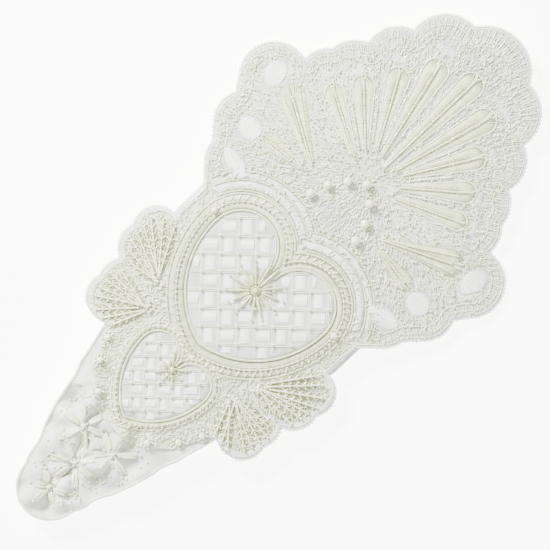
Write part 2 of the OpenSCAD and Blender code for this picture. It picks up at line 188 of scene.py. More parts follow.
def ring_frames(path):
    """Two unit vectors across each path: level, from tangent x up, and the one that stands on it."""
    along = np.gradient(path, axis=1)
    along /= np.linalg.norm(along, axis=2, keepdims=True) + 1e-12
    level = np.cross(along, [0.0, 0.0, 1.0])
    length = np.linalg.norm(level, axis=2, keepdims=True)
    level = np.where(length > 1e-6, level / (length + 1e-12), [1.0, 0.0, 0.0])
    return level, np.cross(level, along)


def strands(path, radius, sides=6, flat=1.0):
    """Points, faces and UVs of closed strands: ring point = path + r (cos a level + flat sin a
    upright), for a path array (strand, step, xyz) and a radius array (strand, step)."""
    count, steps = path.shape[:2]
    level, upright = ring_frames(path)
    turn = np.arange(sides) / sides * 2 * np.pi
    r = radius[..., None, None]
    rings = path[:, :, None] + r * np.cos(turn)[:, None] * level[:, :, None]
    rings = rings + r * flat * np.sin(turn)[:, None] * upright[:, :, None]
    poles = path[:, [0, -1]]
    points = np.concatenate([rings.reshape(count, -1, 3), poles], axis=1)
    size = steps * sides + 2
    k, s = np.meshgrid(np.arange(steps - 1), np.arange(sides), indexing="ij")
    nxt = (s + 1) % sides
    row, ahead = k * sides, (k + 1) * sides
    quad = np.stack([ahead + s, ahead + nxt, row + nxt, row + s], -1).reshape(-1, 4)
    ring = np.arange(sides)
    last = (steps - 1) * sides
    tri = np.concatenate([
        np.stack([ring, (ring + 1) % sides, np.full(sides, size - 2)], -1),
        np.stack([last + (ring + 1) % sides, last + ring, np.full(sides, size - 1)], -1)])
    start = (np.arange(count) * size)[:, None, None]
    gone = np.cumsum(np.linalg.norm(np.diff(path, axis=1), axis=2), axis=1)
    u = np.concatenate([np.zeros((count, 1)), gone], 1)[:, (quad // sides)]
    v = np.broadcast_to(np.stack([s, s + 1, s + 1, s], -1).reshape(-1, 4) / sides, u.shape)
    tri_uv = np.zeros((count, len(tri), 3, 2))
    faces = [(quad + start).reshape(-1, 4), (tri + start).reshape(-1, 3)]
    return points.reshape(-1, 3), faces, [np.stack([u, v], -1), tri_uv]


def joined(parts):
    """Several (points, faces, uvs) sets as one, with the face numbers moved on."""
    points = np.concatenate([p[0] for p in parts])
    moved, start = [], 0
    for p in parts:
        moved += [f + start for f in p[1]]
        start += len(p[0])
    return points, moved, [u for p in parts for u in p[2]]


print("strand maker ready")

# %% [markdown]
# ## Laying stitches on the cloth
# A stitch is drawn flat, as a start and an end, and then laid on the cloth. Its ends dive into
# the net and its middle stands proud, as pulled silk does. Beads stay straight and only touch
# the cloth at their middle, which is what sewn glass does.

# %% Stitch and bead helpers
chance = np.random.default_rng(7)


def stitches(start, end, radius=0.26, level=ON_NET, rise=0.35, steps=5, sides=5, flat=0.8):
    """Satin stitches from start to end (n, 2): straight in plan, and as high as a half sine."""
    t = np.linspace(0, 1, steps)[None, :, None]
    flat_path = start[:, None] * (1 - t) + end[:, None] * t
    x, y = flat_path[..., 0], flat_path[..., 1]
    lift = rise * np.sin(np.pi * t[..., 0]) + radius * 0.4
    z = cloth_z(x, y, level) + lift
    r = radius * (0.45 + 0.55 * np.sin(np.pi * t[..., 0]) ** 0.5) * np.ones_like(x)
    return strands(np.stack([x, y + FOLD_Y, z], -1), r, sides, flat)


BUGLE = ((0, 0.45), (0.04, 0.86), (0.14, 1), (0.86, 1), (0.96, 0.86), (1, 0.45))


def beads(middle, direction, length, radius, level=ON_NET, sides=8, profile=BUGLE):
    """Beads turned from a profile of (share of length, share of radius), lying along a direction."""
    direction = direction / (np.linalg.norm(direction, axis=1, keepdims=True) + 1e-9)
    length = np.broadcast_to(length, len(middle))
    radius = np.broadcast_to(radius, len(middle))
    ends = [middle + direction * length[:, None] * s for s in (-0.5, 0.5)]
    z0, z1 = (cloth_z(e[:, 0], e[:, 1], level) for e in ends)
    zm = cloth_z(middle[:, 0], middle[:, 1], level)
    sink = np.maximum(0, zm - (z0 + z1) / 2)
    a = np.stack([ends[0][:, 0], ends[0][:, 1] + FOLD_Y, z0 + sink + radius], -1)
    b = np.stack([ends[1][:, 0], ends[1][:, 1] + FOLD_Y, z1 + sink + radius], -1)
    t, r = np.array(profile).T
    path = a[:, None] * (1 - t)[None, :, None] + b[:, None] * t[None, :, None]
    return strands(path, radius[:, None] * r[None], sides)


ROUND = tuple(((1 - np.cos(a)) / 2, np.sin(a)) for a in np.linspace(0.2, np.pi - 0.2, 7))


def round_beads(middle, radius, level=ON_NET, sides=10):
    """Seed beads and pearls: the profile is half a circle, and the axis lies at random."""
    turn = chance.uniform(0, np.pi, len(middle))
    radius = np.broadcast_to(radius, len(middle))
    return beads(middle, np.stack([np.cos(turn), np.sin(turn)], -1), radius * 2, radius, level, sides, ROUND)


def resample(path, step):
    """Points a given step apart along a polyline (n, 2), with their unit directions."""
    run = np.concatenate([[0], np.cumsum(np.linalg.norm(np.diff(path, axis=0), axis=1))])
    count = max(2, int(run[-1] / step) + 1)
    at = np.linspace(0, run[-1], count)
    points = np.stack([np.interp(at, run, path[:, i]) for i in (0, 1)], -1)
    along = np.gradient(points, axis=0)
    return points, along / (np.linalg.norm(along, axis=1, keepdims=True) + 1e-9)


def cord_on_cloth(path, radius, level=ON_NET, step=0.8, sides=8):
    """A cord along a flat path, half sunk into the cloth."""
    points = resample(path, step)[0]
    x, y = points.T
    z = cloth_z(x, y, level) + radius * 0.7
    return strands(np.stack([x, y + FOLD_Y, z], -1)[None], np.full((1, len(x)), radius), sides)


def across(directions):
    """Unit vectors a quarter turn to the left of the given ones."""
    return np.stack([-directions[..., 1], directions[..., 0]], -1)


def axis_of(root, tip):
    """Unit vector from root to tip, their distance, and the unit vector to the left."""
    along = tip - root
    length = np.linalg.norm(along)
    along = along / length
    return along, length, np.array([-along[1], along[0]])


print("stitch helpers ready")

# %% [markdown]
# ## Threads, glass and pearl as materials
# Nearly everything here is one cream colour, so the finish carries the looks: rough net, satin
# silk that shines along the thread, bright cut glass and soft pearl. Three effects are shared by
# several materials, so each is a node group: a slow change of dye, a woven cloth and a twist.

# %% Shared effects
def effect(name, inputs, outputs):
    """An empty shader node group with named sockets, and its input and output nodes."""
    group = bpy.data.node_groups.new(name, "ShaderNodeTree")
    for label, kind, value in inputs:
        group.interface.new_socket(label, in_out="INPUT", socket_type=kind).default_value = value
    for label, kind in outputs:
        group.interface.new_socket(label, in_out="OUTPUT", socket_type=kind)
    return group, group.nodes.new("NodeGroupInput"), group.nodes.new("NodeGroupOutput")


def maths(tree, kind, a, b=None):
    """A Math node; each operand is a socket or a number."""
    node = tree.nodes.new("ShaderNodeMath")
    node.operation = kind
    for socket, value in zip(node.inputs, (a, b)):
        if isinstance(value, bpy.types.NodeSocket):
            tree.links.new(value, socket)
        elif value is not None:
            socket.default_value = value
    return node.outputs[0]


def dye_effect():
    """Colour = mix(light, deep, contrast-stretched noise at two sizes), in Object coordinates."""
    group, inside, out = effect(
        "uneven_dye",
        [("Light", "NodeSocketColor", (1, 1, 1, 1)), ("Deep", "NodeSocketColor", (0.8, 0.8, 0.8, 1)),
         ("Scale", "NodeSocketFloat", 300.0)],
        [("Color", "NodeSocketColor")])
    place = group.nodes.new("ShaderNodeTexCoord")
    noise = group.nodes.new("ShaderNodeTexNoise")
    noise.inputs["Detail"].default_value = 3.0
    group.links.new(place.outputs["Object"], noise.inputs["Vector"])
    group.links.new(inside.outputs["Scale"], noise.inputs["Scale"])
    spread = group.nodes.new("ShaderNodeMapRange")
    spread.inputs["From Min"].default_value, spread.inputs["From Max"].default_value = 0.32, 0.68
    group.links.new(noise.outputs["Fac"], spread.inputs["Value"])
    mix = group.nodes.new("ShaderNodeMix")
    mix.data_type = "RGBA"
    group.links.new(spread.outputs["Result"], mix.inputs["Factor"])
    group.links.new(inside.outputs["Light"], mix.inputs["A"])
    group.links.new(inside.outputs["Deep"], mix.inputs["B"])
    group.links.new(mix.outputs["Result"], out.inputs["Color"])
    return group


def relief_effect(name, distance, wave):
    """A normal from a height that wave(group, X, Y, pitch) makes of the UV, in millimetres."""
    group, inside, out = effect(
        name, [("Pitch", "NodeSocketFloat", 1.0), ("Depth", "NodeSocketFloat", 0.3)],
        [("Normal", "NodeSocketVector")])
    split = group.nodes.new("ShaderNodeSeparateXYZ")
    group.links.new(group.nodes.new("ShaderNodeUVMap").outputs["UV"], split.inputs[0])
    bump = group.nodes.new("ShaderNodeBump")
    bump.inputs["Distance"].default_value = distance
    height = wave(group, split.outputs["X"], split.outputs["Y"], inside.outputs["Pitch"])
    group.links.new(height, bump.inputs["Height"])
    group.links.new(inside.outputs["Depth"], bump.inputs["Strength"])
    group.links.new(bump.outputs["Normal"], out.inputs["Normal"])
    return group


def weave(group, x, y, pitch):
    """Height = |sin(pi x / pitch)|^1.5 |sin(pi y / pitch)|^1.5: warp over weft."""
    waves = []
    for along in (x, y):
        turn = maths(group, "MULTIPLY", maths(group, "DIVIDE", along, pitch), np.pi)
        size = maths(group, "ABSOLUTE", maths(group, "SINE", turn))
        waves.append(maths(group, "POWER", size, 1.5))
    return maths(group, "MULTIPLY", *waves)


def twist(group, x, y, pitch):
    """Height = sin(2 pi (x / pitch + 2 y)): two plies that wind round a thread."""
    plies = maths(group, "MULTIPLY", y, 2.0)
    share = maths(group, "ADD", maths(group, "DIVIDE", x, pitch), plies)
    return maths(group, "SINE", maths(group, "MULTIPLY", share, 2 * np.pi))


DYE = dye_effect()
WEAVE = relief_effect("woven_cloth", 0.0002, weave)
TWIST = relief_effect("twisted_thread", 0.0001, twist)


def linear(r, g, b):
    """A colour given as 0-255 screen values, in linear light."""
    c = np.array([r, g, b]) / 255
    return (*np.where(c <= 0.04045, c / 12.92, ((c + 0.055) / 1.055) ** 2.4), 1.0)


def finish_of(name, light, deep, scale, surface, pitch, depth, values):
    """A material: dye into the base colour, an optional weave or twist into the normal, and the
    other Principled values set by name."""
    made = bpy.data.materials.new(name + "_finish")
    made.use_nodes = True
    tree = made.node_tree
    shader = tree.nodes["Principled BSDF"]
    dye = tree.nodes.new("ShaderNodeGroup")
    dye.node_tree = DYE
    dye.inputs["Light"].default_value = linear(*light)
    dye.inputs["Deep"].default_value = linear(*deep)
    dye.inputs["Scale"].default_value = scale
    tree.links.new(dye.outputs["Color"], shader.inputs["Base Color"])
    if surface:
        relief = tree.nodes.new("ShaderNodeGroup")
        relief.node_tree = surface
        relief.inputs["Pitch"].default_value = pitch
        relief.inputs["Depth"].default_value = depth
        tree.links.new(relief.outputs["Normal"], shader.inputs["Normal"])
    for label, value in values.items():
        shader.inputs[label].default_value = value
    return made


def thread(roughness, sheen=0.0):
    """Shader values of cloth and thread, which hardly mirror the light."""
    return {"Roughness": roughness, "Specular IOR Level": 0.2, "Sheen Weight": sheen}


def coated(roughness, coat, coat_roughness, mirror=0.5):
    """Shader values of glass and pearl: a bead under a clear coat."""
    return {"Roughness": roughness, "Specular IOR Level": mirror,
            "Coat Weight": coat, "Coat Roughness": coat_roughness}


FINISHES = {}
for name, light, deep, scale, surface, pitch, depth, values in (
        ("organza", (225, 228, 222), (199, 203, 195), 120, WEAVE, 0.5, 0.25, thread(0.5, 0.2)),
        ("lace_net", (219, 223, 209), (199, 204, 185), 260, WEAVE, 1.1, 0.9, thread(0.8, 0.1)),
        ("border_stitching", (232, 236, 230), (214, 219, 209), 420, TWIST, 0.9, 0.35, thread(0.5, 0.15)),
        ("petal_satin", (220, 225, 191), (198, 206, 164), 380, TWIST, 1.2, 0.3, thread(0.38, 0.1)),
        ("inset_satin", (245, 246, 244), (237, 238, 235), 200, TWIST, 1.4, 0.2, thread(0.42, 0.1)),
        ("corded_band", (222, 226, 197), (200, 206, 170), 500, TWIST, 0.7, 0.6, thread(0.5, 0.1)),
        ("lattice_thread", (233, 236, 221), (217, 221, 202), 300, TWIST, 0.8, 0.4, thread(0.45)),
        ("binding_satin", (222, 223, 219), (208, 210, 203), 200, WEAVE, 0.4, 0.2, thread(0.5)),
        ("elastic", (219, 220, 214), (205, 206, 198), 200, WEAVE, 0.7, 0.6, thread(0.7)),
        ("bugle_beads", (238, 240, 215), (209, 213, 178), 900, None, 1, 0, coated(0.12, 0.7, 0.04, 0.7)),
        # A darker olive satin: partly the olive tone of the thread, partly painted shade of the gaps between
        # the spray fronds.
        ("olive_satin_painted_shade", (181, 188, 146), (152, 160, 114), 380, TWIST, 1.2, 0.3, thread(0.45)),
        ("olive_beads", (208, 211, 172), (180, 184, 138), 900, None, 1, 0, coated(0.16, 0.7, 0.05)),
        ("pearls", (239, 239, 216), (227, 225, 196), 500, None, 1, 0, coated(0.28, 0.8, 0.08))):
    FINISHES[name] = finish_of(name, light, deep, scale, surface, pitch, depth, values)
print(len(FINISHES), "materials")


def dress(piece, slot, *nodes, finish=None):
    """Gives a piece the finish named by finish, or else by slot, and hides the frame nodes that it replaces.
    """
    piece.data.materials.clear()
    piece.data.materials.append(FINISHES[finish or slot])
    if nodes:
        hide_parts(*nodes)
    return piece


def across_fold(piece):
    """Bakes a piece's placement into its points; it rides no body."""
    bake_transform(piece)
    return piece


def sew(name, body, slot, *parts, nodes=(), finish=None):
    """One finished piece of strands that rides a body, or is baked in place without one."""
    piece = dress(add_mesh(name, *joined(parts)), slot, *nodes, finish=finish)
    print(name, len(piece.data.vertices), "points")
    return across_fold(piece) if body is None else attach(piece, body)


# %% [markdown]
# ## The plan of the embroidery
# Lace like this is stitched from a paper plan: scallops, petals, two hearts and four sprays. The
# plan is kept in one place as centres and radii in millimetres from the wrist fold, stretched to
# the size that the frame has. The outline is the farthest edge met by rays from the fold's middle.

# %% The plan
KX, KW = FAN_HALF / 62.5, WRIST_HALF / 40.0
KA, KH = ARM_LEN / 155.0, HAND_LEN / 85.0


def fan_points(*points):
    """Points of the fan, stretched to its width and length."""
    return np.array(points, float) * [KX, KA]


def wrist_points(*points):
    """Points about the wrist, stretched to its width and to the length of their side."""
    p = np.array(points, float)
    return np.stack([p[:, 0] * KW, np.where(p[:, 1] > 0, KA, KH) * p[:, 1]], -1)


def both_sides(rows, sign=(-1, 1)):
    """Rows whose first number is the distance from the middle line, on both sides of it."""
    rows = np.asarray(rows, float)
    flip = np.ones(rows.shape[-1])
    out = []
    for s in sign:
        flip[0] = s
        out.append(rows * flip)
    return np.concatenate(out)


FAN_LOBES = np.array([
    [0, 139, 16], [14.5, 133.5, 13.5], [24, 119.5, 12], [31, 105, 12],
    [37, 97.5, 10], [50.3, 84, 12.2], [46, 65.5, 10.7], [38.6, 52.8, 9.8]])
UPPER_LOBES = np.array([[39.5, 16.5, 8.3], [38, 9, 9]])
LOWER_LOBES = np.array([[33.5, -5, 9], [33, -11.5, 9]])
LOBES = both_sides(np.concatenate([FAN_LOBES, UPPER_LOBES, LOWER_LOBES])) * [KX, KA, 1]
CORE = np.array([
    [9, -43], [20.5, -33], [25.5, -22], [33, -11.5], [33.5, -5], [33.5, 0], [38, 0], [38, 9],
    [39.5, 16.5], [38.5, 24], [38.5, 46], *FAN_LOBES[::-1, :2]])
CORE = np.concatenate([CORE, CORE[-2::-1] * [-1, 1]]) * [KX, KA]


def edge_distance(turn):
    """Farthest edge met by a ray at each angle: for a disc b + sqrt(b^2 - |c|^2 + r^2) with
    b = c . d, and for the core's sides cross(p, e) / cross(d, e)."""
    d = np.stack([np.cos(turn), np.sin(turn)], -1)
    c, r = LOBES[:, :2], LOBES[:, 2]
    b = d @ c.T
    root = b * b - (c * c).sum(1) + r * r
    far = np.where(root > 0, b + np.sqrt(np.maximum(root, 0)), 0).max(1)
    p, e = CORE, np.roll(CORE, -1, 0) - CORE
    cross = d[:, :1] * e[:, 1] - d[:, 1:] * e[:, 0]
    cross = np.where(np.abs(cross) < 1e-9, 1e-9, cross)
    t = (p[:, 0] * e[:, 1] - p[:, 1] * e[:, 0]) / cross
    s = (p[:, 0] * d[:, 1:] - p[:, 1] * d[:, :1]) / cross
    return np.maximum(far, np.where((s >= 0) & (s <= 1) & (t > 0), t, 0).max(1))


angles = np.linspace(-np.pi / 2, 1.5 * np.pi, 6001)
edge = np.stack([np.cos(angles), np.sin(angles)], -1) * edge_distance(angles)[:, None]
print("lace edge is", round(float(np.linalg.norm(np.diff(edge, axis=0), axis=1).sum())), "mm long")

# %% [markdown]
# ## Organza and net
# Two sheets carry the glove. The organza is cut in one piece from the finger point to the arm
# opening and folds at the wrist. The net lies on it and carries the lace. Both are soft, so each
# is one continuous sheet that bends at the wrist, where the frame has two stiff parts.

# %% Sheets that bend at the wrist
ORG_Y = np.array([-73, -51, -21, -1.5, 1.5, 27, 44, 91.0])
ORG_HALF = np.array([12, 20, 28, 32.7, 33.5, 40, 40, 44.0])


def organza_half(y):
    """Half width of the organza: straight sides between its corners, a round tip of 12 mm."""
    k = np.where(y > 0, KA, KH)
    side = np.interp(y / k, ORG_Y, ORG_HALF) * KW
    side = side + 0.4 * smooth_step((-28 - y) / 10) * np.sin(y / 3.1 + 1.2 * np.sin(y / 5.3))
    tip_y = 12 - HAND_LEN
    tip = np.sqrt(np.maximum(144 - (y - tip_y) ** 2, 0.04))
    return np.where(y < tip_y, tip, side)


def grid_faces(rows, columns, wrap=False):
    """Quads of a grid of points, row by row; wrap joins the last column to the first."""
    k, s = np.meshgrid(np.arange(rows - 1), np.arange(columns if wrap else columns - 1), indexing="ij")
    n = (s + 1) % columns
    row, ahead = k * columns, (k + 1) * columns
    return np.stack([row + s, row + n, ahead + n, ahead + s], -1).reshape(-1, 4)


def thick(piece, thickness, side=1.0):
    """Gives a sheet its thickness with a Solidify modifier."""
    solid = piece.modifiers.new("thickness", "SOLIDIFY")
    solid.thickness, solid.offset = thickness * MM, side
    return piece


tip_rows = -HAND_LEN + 6 * (1 - np.cos(np.linspace(0, np.pi / 2, 14)[1:]))
rows = np.concatenate([tip_rows, np.arange(-HAND_LEN + 6.6, ARM_END, 0.75), [ARM_END]])
u = np.linspace(-1, 1, 91)
X, Y = u[None] * organza_half(rows)[:, None], np.repeat(rows[:, None], len(u), 1)
points = np.stack([X, Y + FOLD_Y, cloth_z(X, Y)], -1).reshape(-1, 3)
faces = grid_faces(*X.shape)
organza = add_mesh("organza_base", points, [faces], [np.stack([X, Y], -1).reshape(-1, 2)[faces]])
thick(organza, BASE_T)
dress(organza, "organza", "back_panel", "point_panel")
across_fold(organza)

turn = np.linspace(-np.pi / 2, 1.5 * np.pi, 721)[:-1]
share = np.linspace(0, 1, 59)[1:]
R = edge_distance(turn)[None] * share[:, None]
X, Y = R * np.cos(turn), R * np.sin(turn)
X, Y = np.append(X.ravel(), 0), np.append(Y.ravel(), 0)
quads = grid_faces(len(share), len(turn), wrap=True)[:, ::-1]
column = np.arange(len(turn))
fill = np.stack([column, (column + 1) % len(turn), np.full(len(turn), len(X) - 1)], -1)
flat = np.stack([X, Y], -1)
points = np.stack([X, Y + FOLD_Y, cloth_z(X, Y, ON_ORGANZA)], -1)
net = add_mesh("lace_ground", points, [quads, fill], [flat[quads], flat[fill]])
thick(net, NET_T)
dress(net, "lace_net", "arm_lace_ground", "hand_lace_ground")
across_fold(net)

# %% [markdown]
# ## The sleeve's hidden side
# The sleeve closes round the wrist below the lace. Its underside lies on the table, and its two
# sides stand up to the back panel. A gathered elastic holds its hand end, and a stitched hem its
# arm end. They show only from low down, but without them the glove could not be worn.

# %% Under sleeve, elastic and hem
SLEEVE_START, SLEEVE_STOP = [node_box("under_panel")[i][1] - FOLD_Y for i in (0, 1)]
SEAM_R = 2.5


def sleeve_section(y, inset=0.0, floor=0.45):
    """Section of the under sleeve: down the left side, round a corner of radius r, across the
    table and up the right side, as points (n, 3) for each place y along the sleeve."""
    half = organza_half(y)[:, None] - 0.5 - inset
    top = cloth_z(half, y[:, None] * np.ones_like(half)) - 0.1
    v = np.linspace(0, 1, 9)[None]
    wall_z = top + (floor + SEAM_R - top) * v
    wall_x = half + 0.5 * np.sin(np.pi * v)
    bend = np.linspace(0, np.pi / 2, 8)[None, 1:]
    corner_x = half - SEAM_R * (1 - np.cos(bend))
    corner_z = floor + SEAM_R * (1 - np.sin(bend))
    across_x = (half - SEAM_R) * np.linspace(1, -1, 60)[None, 1:-1]
    across_z = floor + 0.12 * (1 + np.sin(across_x / 3.1 + y[:, None] / 5.3)) * (1 - (across_x / half) ** 2)
    right_x = np.concatenate([wall_x, corner_x], 1)
    right_z = np.concatenate([wall_z, corner_z * np.ones_like(corner_x)], 1)
    x = np.concatenate([right_x, across_x, -right_x[:, ::-1]], 1)
    z = np.concatenate([right_z, across_z, right_z[:, ::-1]], 1)
    return np.stack([x, y[:, None] + FOLD_Y + np.zeros_like(x), z], -1)


def sheet_mesh(name, grid, thickness, side=0.0):
    """A sheet from a grid of points (row, column, xyz) with UVs in mm, and its run across."""
    across_run = np.cumsum(np.linalg.norm(np.diff(grid, axis=1, prepend=grid[:, :1]), axis=2), axis=1)
    along_run = np.cumsum(np.linalg.norm(np.diff(grid, axis=0, prepend=grid[:1]), axis=2), axis=0)
    faces = grid_faces(*grid.shape[:2])
    uv = np.stack([across_run, along_run], -1).reshape(-1, 2)
    piece = add_mesh(name, grid.reshape(-1, 3), [faces], [uv[faces]])
    return thick(piece, thickness, side), across_run


section = sleeve_section(np.linspace(SLEEVE_START, SLEEVE_STOP, 70))
under, across_run = sheet_mesh("under_sleeve", section, BASE_T)
dress(under, "organza", "under_panel", "side_seam_left", "side_seam_right")
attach(under, "sleeve")


def inner_band(name, slot, node, gathers, depth):
    """A strip inside the sleeve's underside, gathered along the middle: z = floor + depth
    (1 + sin(2 pi gathers x / width)) / 2."""
    start, stop = [corner[1] - FOLD_Y for corner in node_box(node)]
    y = np.linspace(start, stop, 9)
    x = np.linspace(-1, 1, 281)[None] * (organza_half(y)[:, None] - SEAM_R - 0.4)
    swell = np.sin(np.pi * np.linspace(0, 1, 9))[:, None]
    z = 1.3 + depth * 0.5 * (1 + np.sin(np.pi * gathers * x / x.max())) * (0.4 + 0.6 * swell)
    band, run = sheet_mesh(name, np.stack([x, y[:, None] + FOLD_Y + np.zeros_like(x), z], -1), NET_T)
    dress(band, slot, node)
    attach(band, "sleeve")
    print(name, "flat", round(float(run.max()), 1), "x", round(stop - start, 1), "mm")
    return band


bands = [inner_band("wrist_elastic_band", "elastic", "wrist_elastic", 27, 0.5),
         inner_band("arm_hem_band", "binding_satin", "arm_hem", 3, 0.15)]

# %% [markdown]
# ## Finger loop
# A loop of soft elastic under the tip goes over the middle finger and keeps the point straight.
# It is a flat band joined into a long ring, sewn on by a few turns of thread that let it swing.

# %% Finger loop and tack
loop_low, loop_high = node_box("finger_loop")
LOOP_H, LOOP_T = loop_high[2] - loop_low[2], 0.8
LOOP_R = (loop_high[0] - loop_low[0]) / 2


def stadium(r, low, high, count=48):
    """A long ring: two half circles of radius r about (0, low + R) and (0, high - R), and sides."""
    a = np.linspace(0, np.pi, count // 2)
    top = np.stack([r * np.cos(a), high - LOOP_R + r * np.sin(a)], -1)
    low_end = np.stack([-r * np.cos(a), low + LOOP_R - r * np.sin(a)], -1)
    side = np.linspace(0, 1, 8)[1:-1, None]
    left = top[-1] * (1 - side) + low_end[0] * side
    right = low_end[-1] * (1 - side) + top[0] * side
    return np.concatenate([top, left, low_end, right])


line = stadium(LOOP_R - LOOP_T / 2, loop_low[1], loop_high[1])
outward = -across(np.gradient(np.concatenate([line[-1:], line, line[:1]]), axis=0)[1:-1])
outward /= np.linalg.norm(outward, axis=1, keepdims=True)
profile = np.array([(0.5, 0.06), (0.5, 0.94), (0.42, 1), (-0.42, 1),
                    (-0.5, 0.94), (-0.5, 0.06), (-0.42, 0), (0.42, 0)])
ribs = 1 + 0.10 * np.cos(np.arange(len(line)) * np.pi)
ring = line[:, None] + outward[:, None] * (profile[:, 0] * LOOP_T)[None, :, None] * ribs[:, None, None]
height = np.broadcast_to(loop_low[2] + 0.02 + profile[:, 1] * (LOOP_H - 0.04), ring.shape[:2])
ring = np.concatenate([ring, height[..., None]], -1)
faces = grid_faces(len(line), len(profile), wrap=True)
seam = grid_faces(2, len(profile), wrap=True)
seam = np.where(seam < len(profile), seam + (len(line) - 1) * len(profile), seam - len(profile))
faces = np.concatenate([faces, seam])[:, ::-1]
run = np.repeat(np.arange(len(line)) * 1.2, len(profile))
uv = np.stack([run, np.tile(profile[:, 1] * LOOP_H, len(line))], -1)
loop_band = add_mesh("finger_loop_band", ring.reshape(-1, 3), [faces], [uv[faces]])
dress(loop_band, "elastic", "finger_loop")
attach(loop_band, "loop")

tack_low, tack_high = node_box("loop_tack")
tack_y = (tack_low[1] + tack_high[1]) / 2
tack_mid = (loop_low[2] + loop_high[2]) / 2
turns = np.linspace(0, 2 * np.pi, 25)
offsets = np.linspace(-1.1, 1.1, 6)[:, None]
around = np.stack(np.broadcast_arrays(
    offsets, tack_y + 2.5 * np.sin(turns), tack_mid + 2.2 * np.cos(turns)), -1)
hang = np.linspace(0, 1, 8)[None]
bow = np.sin(np.pi * hang)
tack_top = tack_mid + 2.15
top_z = cloth_z(offsets, np.full((6, 1), tack_y - FOLD_Y)) + 0.3
drop = np.stack(np.broadcast_arrays(
    offsets * (1 - 0.25 * bow), tack_y + 0.3 * bow, tack_top + (top_z - tack_top) * hang), -1)
loops = strands(around, np.full((6, 25), 0.13))
legs = strands(drop, np.full((6, 8), 0.3))
sew("loop_tack_threads", "hand_point", "binding_satin", loops, legs, nodes=("loop_tack",))
print("loop", np.round(loop_high - loop_low, 2), "mm, tack at", round(tack_y, 2))

# %% [markdown]
# ## Scalloped border
# The fan's edge is worked in satin stitch: silk laid side by side from the cut edge inwards, each
# scallop turning round its own centre. A thin cord with tiny loops covers the cut ends, and two
# lines of cut glass follow the scallops inside it.

# %% Border stitching
BORDER_W = 7.0
on_fan = edge[:, 1] > 43.5 * KA
fan_edge = edge[on_fan]
FAN_HUB = np.array([0, 84.0]) * [KX, KA]


def towards_centre(points):
    """Unit vectors inwards: mostly to the centre of the lobe whose edge is nearest, partly to
    the fan's hub, and smoothed so that neighbouring stitches never cross."""
    gap = np.abs(np.linalg.norm(points[:, None] - LOBES[None, :, :2], axis=2) - LOBES[:, 2])
    centre = LOBES[np.argmin(gap, 1), :2]
    way = [c - points for c in (centre, FAN_HUB)]
    way = [w / np.linalg.norm(w, axis=1, keepdims=True) for w in way]
    mixed = 0.55 * way[0] + 0.45 * way[1]
    kernel = np.hanning(9)[1:-1]
    kernel = kernel / kernel.sum()
    padded = np.pad(mixed, ((3, 3), (0, 0)), mode="edge")
    mixed = np.stack([np.convolve(padded[:, i], kernel, "valid") for i in (0, 1)], -1)
    return mixed / np.linalg.norm(mixed, axis=1, keepdims=True)


def inside_line(points, depth):
    """A line at a depth, one number or one for each point, inside the edge."""
    return points + towards_centre(points) * np.broadcast_to(depth, len(points))[:, None]


def border_depth(points):
    """Depth of the border: 7 mm round the top, down to two thirds of it in the side lobes, where
    the white insets need the room."""
    return BORDER_W * (1 - 0.36 * smooth_step((np.abs(points[:, 0]) / KX - 36) / 8))


along_edge = resample(fan_edge, 0.62)[0]
inward = towards_centre(along_edge)
count = len(along_edge)
deep = border_depth(along_edge)
depth = deep * (0.55 + 0.32 * (np.arange(count) % 3 == 0) + chance.uniform(-0.05, 0.05, count))
outer_row = stitches(along_edge + inward * 0.25, along_edge + inward * depth[:, None], 0.24, rise=0.30)
inner_start = along_edge + inward * (deep * 0.46 + chance.uniform(-0.2, 0.2, count))[:, None]
inner_end = along_edge + inward * (deep * (0.98 + chance.uniform(-0.08, 0.08, count)))[:, None]
inner_row = stitches(inner_start[::2], inner_end[::2], 0.26, rise=0.22)
sew("border_satin_stitch", "sleeve", "border_stitching", outer_row, inner_row, nodes=("fan_border",))

edge_all = edge[(edge[:, 1] > -19 * KH)]
whole = resample(edge_all, 0.5)[0]
picot_at, picot_way = resample(edge_all, 1.35)
swing = np.linspace(0, np.pi, 7)
bow_x, bow_y = 0.55 * np.cos(swing)[None, :, None], 0.75 * np.sin(swing)[None, :, None]
loops = picot_at[:, None] + picot_way[:, None] * bow_x - across(picot_way)[:, None] * bow_y
x, y = loops[..., 0], loops[..., 1]
picots = strands(np.stack([x, y + FOLD_Y, cloth_z(x, y, ON_ORGANZA) + 0.35], -1), np.full(x.shape, 0.16), 5)
cords = [cord_on_cloth(edge_all, 0.42, ON_ORGANZA + 0.2, step=0.6),
         cord_on_cloth(inside_line(whole, 0.8), 0.26, ON_NET + 0.1, step=0.7)]
sew("edge_cord_and_picots", None, "border_stitching", *cords, picots)
print(count, "satin stitches round the fan,", len(picot_at), "picots")

# %% [markdown]
# ## Petals of the shell
# Nine petals spread from the middle like a scallop shell. Each is worked in fishbone stitch: silk
# slants outwards from both sides of a middle line, which is then covered by bugle beads end to
# end. The slant catches the light differently on the two halves, and so each petal reads clearly.

# %% Petal stitching
def petal_half(s, length, root, tip):
    """Half width of a petal at a distance s from its root: from root to tip in a straight line
    over its length, and then round, sqrt(tip^2 - (s - length)^2)."""
    straight = root + (tip - root) * np.clip(s / length, 0, 1)
    return np.where(s < length, straight, np.sqrt(np.maximum(tip**2 - (s - length) ** 2, 0)))


